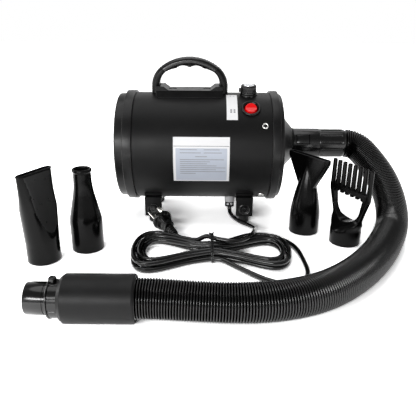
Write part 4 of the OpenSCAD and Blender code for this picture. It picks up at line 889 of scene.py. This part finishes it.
comb_place = standing((222.4, -125.6), -62.8)
fork = [circle(22.9, 0, 96), circle(NOZZLE_R, 0.6, 96), circle(NOZZLE_R, 22, 96)]
for z in range(24, 45, 2):
    f = blend01((z - 22) / 22)
    fork.append(oblong(NOZZLE_R + 5.5 * f, NOZZLE_R - 19 * f, z, power=2 + 6 * f * f))
fork += [oblong(29 + 12.5 * (z - 44) / 36, 4.5, z, power=8) for z in range(46, 81, 4)]
fork += [oblong(41.5, 4.5, 87.4, power=8), oblong(41, 4.1, 88, power=8)]
comb = raw("comb_mouthpiece", *loft(fork), comb_place)
half = [(0, 36.5)]
half += [(27.5 * math.sin(math.radians(a)), 63 - 26.5 * math.cos(math.radians(a))) for a in range(5, 90, 5)]
half += [(28.3, 67), (29.3, 72), (31, 80)]
eye = half + [(-x, z) for x, z in reversed(half[1:])]
eye_solid = loft([[(x, y, z) for x, z in eye] for y in (-40, 40)])
combine(comb, [raw("eye", *eye_solid, comb_place), raw("socket", *rod(SOCKET_R, -1, 26, 96), comb_place)],
        "DIFFERENCE")
stand_in(melt(comb, 0.7, 5), "comb_nozzle", 60)
tooth = rounded([
    (1.9, 83, 0), (1.9, 124.5, 0.5), (3.3, 124.5, 0.9), (3.75, 84, 0), (3.75, 76, 1.5), (0.05, 75.2, 0),
    (0.05, 83, 0),
])
points, faces = [], []
for i in range(8):
    p, f = spin(tooth, 32)
    faces += [tuple(j + len(points) for j in q) for q in f]
    points += [(x + (i - 3.5) * 10.9, y, z) for x, y, z in p]
piece(raw("comb_teeth", points, faces, comb_place), "nozzle_black", "comb_nozzle", sharp=50)

# --- Plug and tie ---
plug_place = at(PLUG_AT, plug_way, (0, 0, 1))
plug_disc = rounded([
    (0.01, -7, 0), (15.6, -7, 0.8), (16.9, -5.6, 0.8), (17, -2.4, 1), (15.8, -1.2, 0.6), (0.01, -1.2, 0),
])
plug_parts = [
    spin(plug_disc, 96),
    loft([oblong(w, h, z, power=5) for z, w, h in (
        (-6, 13.8, 12), (-9, 13.4, 11.6), (-12, 12.6, 10.8), (-15, 11.4, 9.8), (-18, 10, 8.8),
        (-21, 8.9, 7.9), (-23, 8.6, 7.6), (-23.2, 9.4, 8.3), (-25.8, 9.2, 8.1))]),
    block(11, 17.4, -3.2, 3.2, -13.5, -9),
    block(14, 17.8, -3.2, 3.2, -16.4, -11),
]
plug = raw("plug_shell", *plug_parts[0], plug_place)
combine(plug, [raw("part", *p, plug_place) for p in plug_parts[1:]], "UNION")
panels = [block(x * 12.3 - 3, x * 12.3 + 3, -4.6, 4.6, -17.5, -9.5) for x in (-1, 1)]
panels += [block(-5.4, 5.4, y * 10.6 - 1.9, y * 10.6 + 1.9, -17.5, -9.5) for y in (-1, 1)]
combine(plug, [raw("panel", *p, plug_place) for p in panels], "DIFFERENCE")
stand_in(melt(plug, 0.4, 3), "plug_body", 60)
relief = [(3.55, -44), (4.6, -44), (4.9, -43.6)]
for i in range(4):
    z, r = -42.2 + i * 4.2, 5.6 + 0.35 * i
    relief += [(r - 1.6, z - 0.7), (r - 0.2, z - 0.4), (r, z)]
    relief += [(r, z + 2.3), (r - 0.2, z + 2.6), (r - 1.6, z + 2.9)]
relief += [(6.3, -25.9), (3.55, -25.9)]
stand_in(raw("plug_strain_relief", *spin(relief, 48), plug_place), "plug_relief", 40)
pins = eased("plug_pins", "pins", 0.35)
outward = plug_place.inverted()
for v in pins.data.vertices:
    if (outward @ layout(v.co)).z < 5:
        v.co -= plug_way * 0.0055
WIRE_R = 1.0
waist = [Vector((p.y, p.z)) for p in lead_path if abs(p.x - MID[0]) < 2]
wrap = []
for i in range(73):
    way = Vector((math.cos(math.radians(5 * i)), math.sin(math.radians(5 * i))))
    wrap.append(max(waist, key=lambda q: q.dot(way)) + (CORD_R + WIRE_R) * way)
two_wraps = (wrap + wrap)[:146]
wire = [Vector((MID[0] - 2.3 + 4.6 * i / 145, q.x, max(q.y, WIRE_R))) for i, q in enumerate(two_wraps)]
wire, _ = at_lengths(wire, [0.8 * i for i in range(1000)])
top = max(wire, key=lambda q: q.z)
points, faces = tube(wire, [WIRE_R] * len(wire), 10, Vector((1, 0, 0)))
for tail in ((-3.5, 5, 0.5), (3.5, 4, 1.5), (0.5, -3, 2.2)):
    tail_line = [top + Vector(tail) * k / 4 for k in range(5)]
    q, f = tube(tail_line, [1.5, 1.6, 1.4, 1.1, 0.9], 10, Vector((0, 0, 1)))
    faces += [tuple(j + len(points) for j in g) for g in f]
    points += q
stand_in(raw("lead_tie", points, faces), "hank_tie", 60)

# --- Light and stage ---
FLOOR_PLAIN, FLOOR_SEEN = 0.75, 2.8


def seen(tree):
    """1 for rays that show the background: camera, glossy and transmission rays."""
    path = tree.nodes.new("ShaderNodeLightPath")
    out = path.outputs["Is Camera Ray"]
    for name in ("Is Glossy Ray", "Is Transmission Ray"):
        add = tree.nodes.new("ShaderNodeMath")
        add.operation = "MAXIMUM"
        tree.links.new(out, add.inputs[0])
        tree.links.new(path.outputs[name], add.inputs[1])
        out = add.outputs[0]
    return out


floor_paint = bpy.data.materials.new("floor")
floor_paint.use_nodes = True
ft = floor_paint.node_tree
ft.nodes.clear()
diffuse = ft.nodes.new("ShaderNodeBsdfDiffuse")
pick = ft.nodes.new("ShaderNodeMix")
pick.data_type = "RGBA"
pick.inputs[6].default_value = (FLOOR_PLAIN, FLOOR_PLAIN, FLOOR_PLAIN, 1)
pick.inputs[7].default_value = (FLOOR_SEEN, FLOOR_SEEN, FLOOR_SEEN, 1)
ft.links.new(seen(ft), pick.inputs[0])
ft.links.new(pick.outputs[2], diffuse.inputs["Color"])
ft.links.new(diffuse.outputs[0], ft.nodes.new("ShaderNodeOutputMaterial").inputs["Surface"])
me = bpy.data.meshes.new("floor")
S = 6
me.from_pydata([(-S, -S, 0), (S, -S, 0), (S, S, 0), (-S, S, 0)], [], [(0, 1, 2, 3)])
me.materials.append(floor_paint)
floor = bpy.data.objects.new("floor", me)
bpy.context.scene.collection.objects.link(floor)

world = bpy.data.worlds.new("world")
bpy.context.scene.world = world
world.use_nodes = True
wt = world.node_tree
bg = wt.nodes["Background"]
bg.inputs["Color"].default_value = (1, 1, 1, 1)
strength = wt.nodes.new("ShaderNodeMix")
strength.data_type = "FLOAT"
strength.inputs[2].default_value = 0.45
strength.inputs[3].default_value = 1.0
wt.links.new(seen(wt), strength.inputs[0])
# The backdrop is white; the ceiling above it is darker.
height = wt.nodes.new("ShaderNodeSeparateXYZ")
wt.links.new(wt.nodes.new("ShaderNodeTexCoord").outputs["Generated"], height.inputs[0])
ceiling = wt.nodes.new("ShaderNodeMapRange")
for key, x in (("From Min", 0.2), ("From Max", 0.6), ("To Min", 1.0), ("To Max", 0.3)):
    ceiling.inputs[key].default_value = x
wt.links.new(height.outputs["Z"], ceiling.inputs["Value"])
level = wt.nodes.new("ShaderNodeMath")
level.operation = "MULTIPLY"
wt.links.new(strength.outputs[0], level.inputs[0])
wt.links.new(ceiling.outputs["Result"], level.inputs[1])
wt.links.new(level.outputs[0], bg.inputs["Strength"])


def lamp(name, place, to, size, power, size_y):
    data = bpy.data.lights.new(name, "AREA")
    data.shape = "RECTANGLE"
    data.size = size
    data.size_y = size_y
    data.energy = power
    ob = bpy.data.objects.new(name, data)
    bpy.context.scene.collection.objects.link(ob)
    ob.location = place
    ob.rotation_euler = (Vector(to) - Vector(place)).to_track_quat("-Z", "Y").to_euler()


lamp("key", (-0.85, -1.9, 0.8), (0, 0.05, 0.1), 1.5, 38, 0.3)
lamp("side", (-1.3, 0.1, 0.5), (-0.1, 0.1, 0.12), 0.35, 7, 0.9)
lamp("back", (0.25, 1.0, 1.0), (0, 0.1, 0.15), 1.2, 3, 0.5)
sun = bpy.data.objects.new("sky", bpy.data.lights.new("sky", "SUN"))
bpy.context.scene.collection.objects.link(sun)
sun.data.energy = 1.05
sun.data.angle = math.radians(50)
sun.rotation_euler = (math.radians(-8), math.radians(-10), 0)

bpy.context.scene.view_settings.view_transform = "Standard"
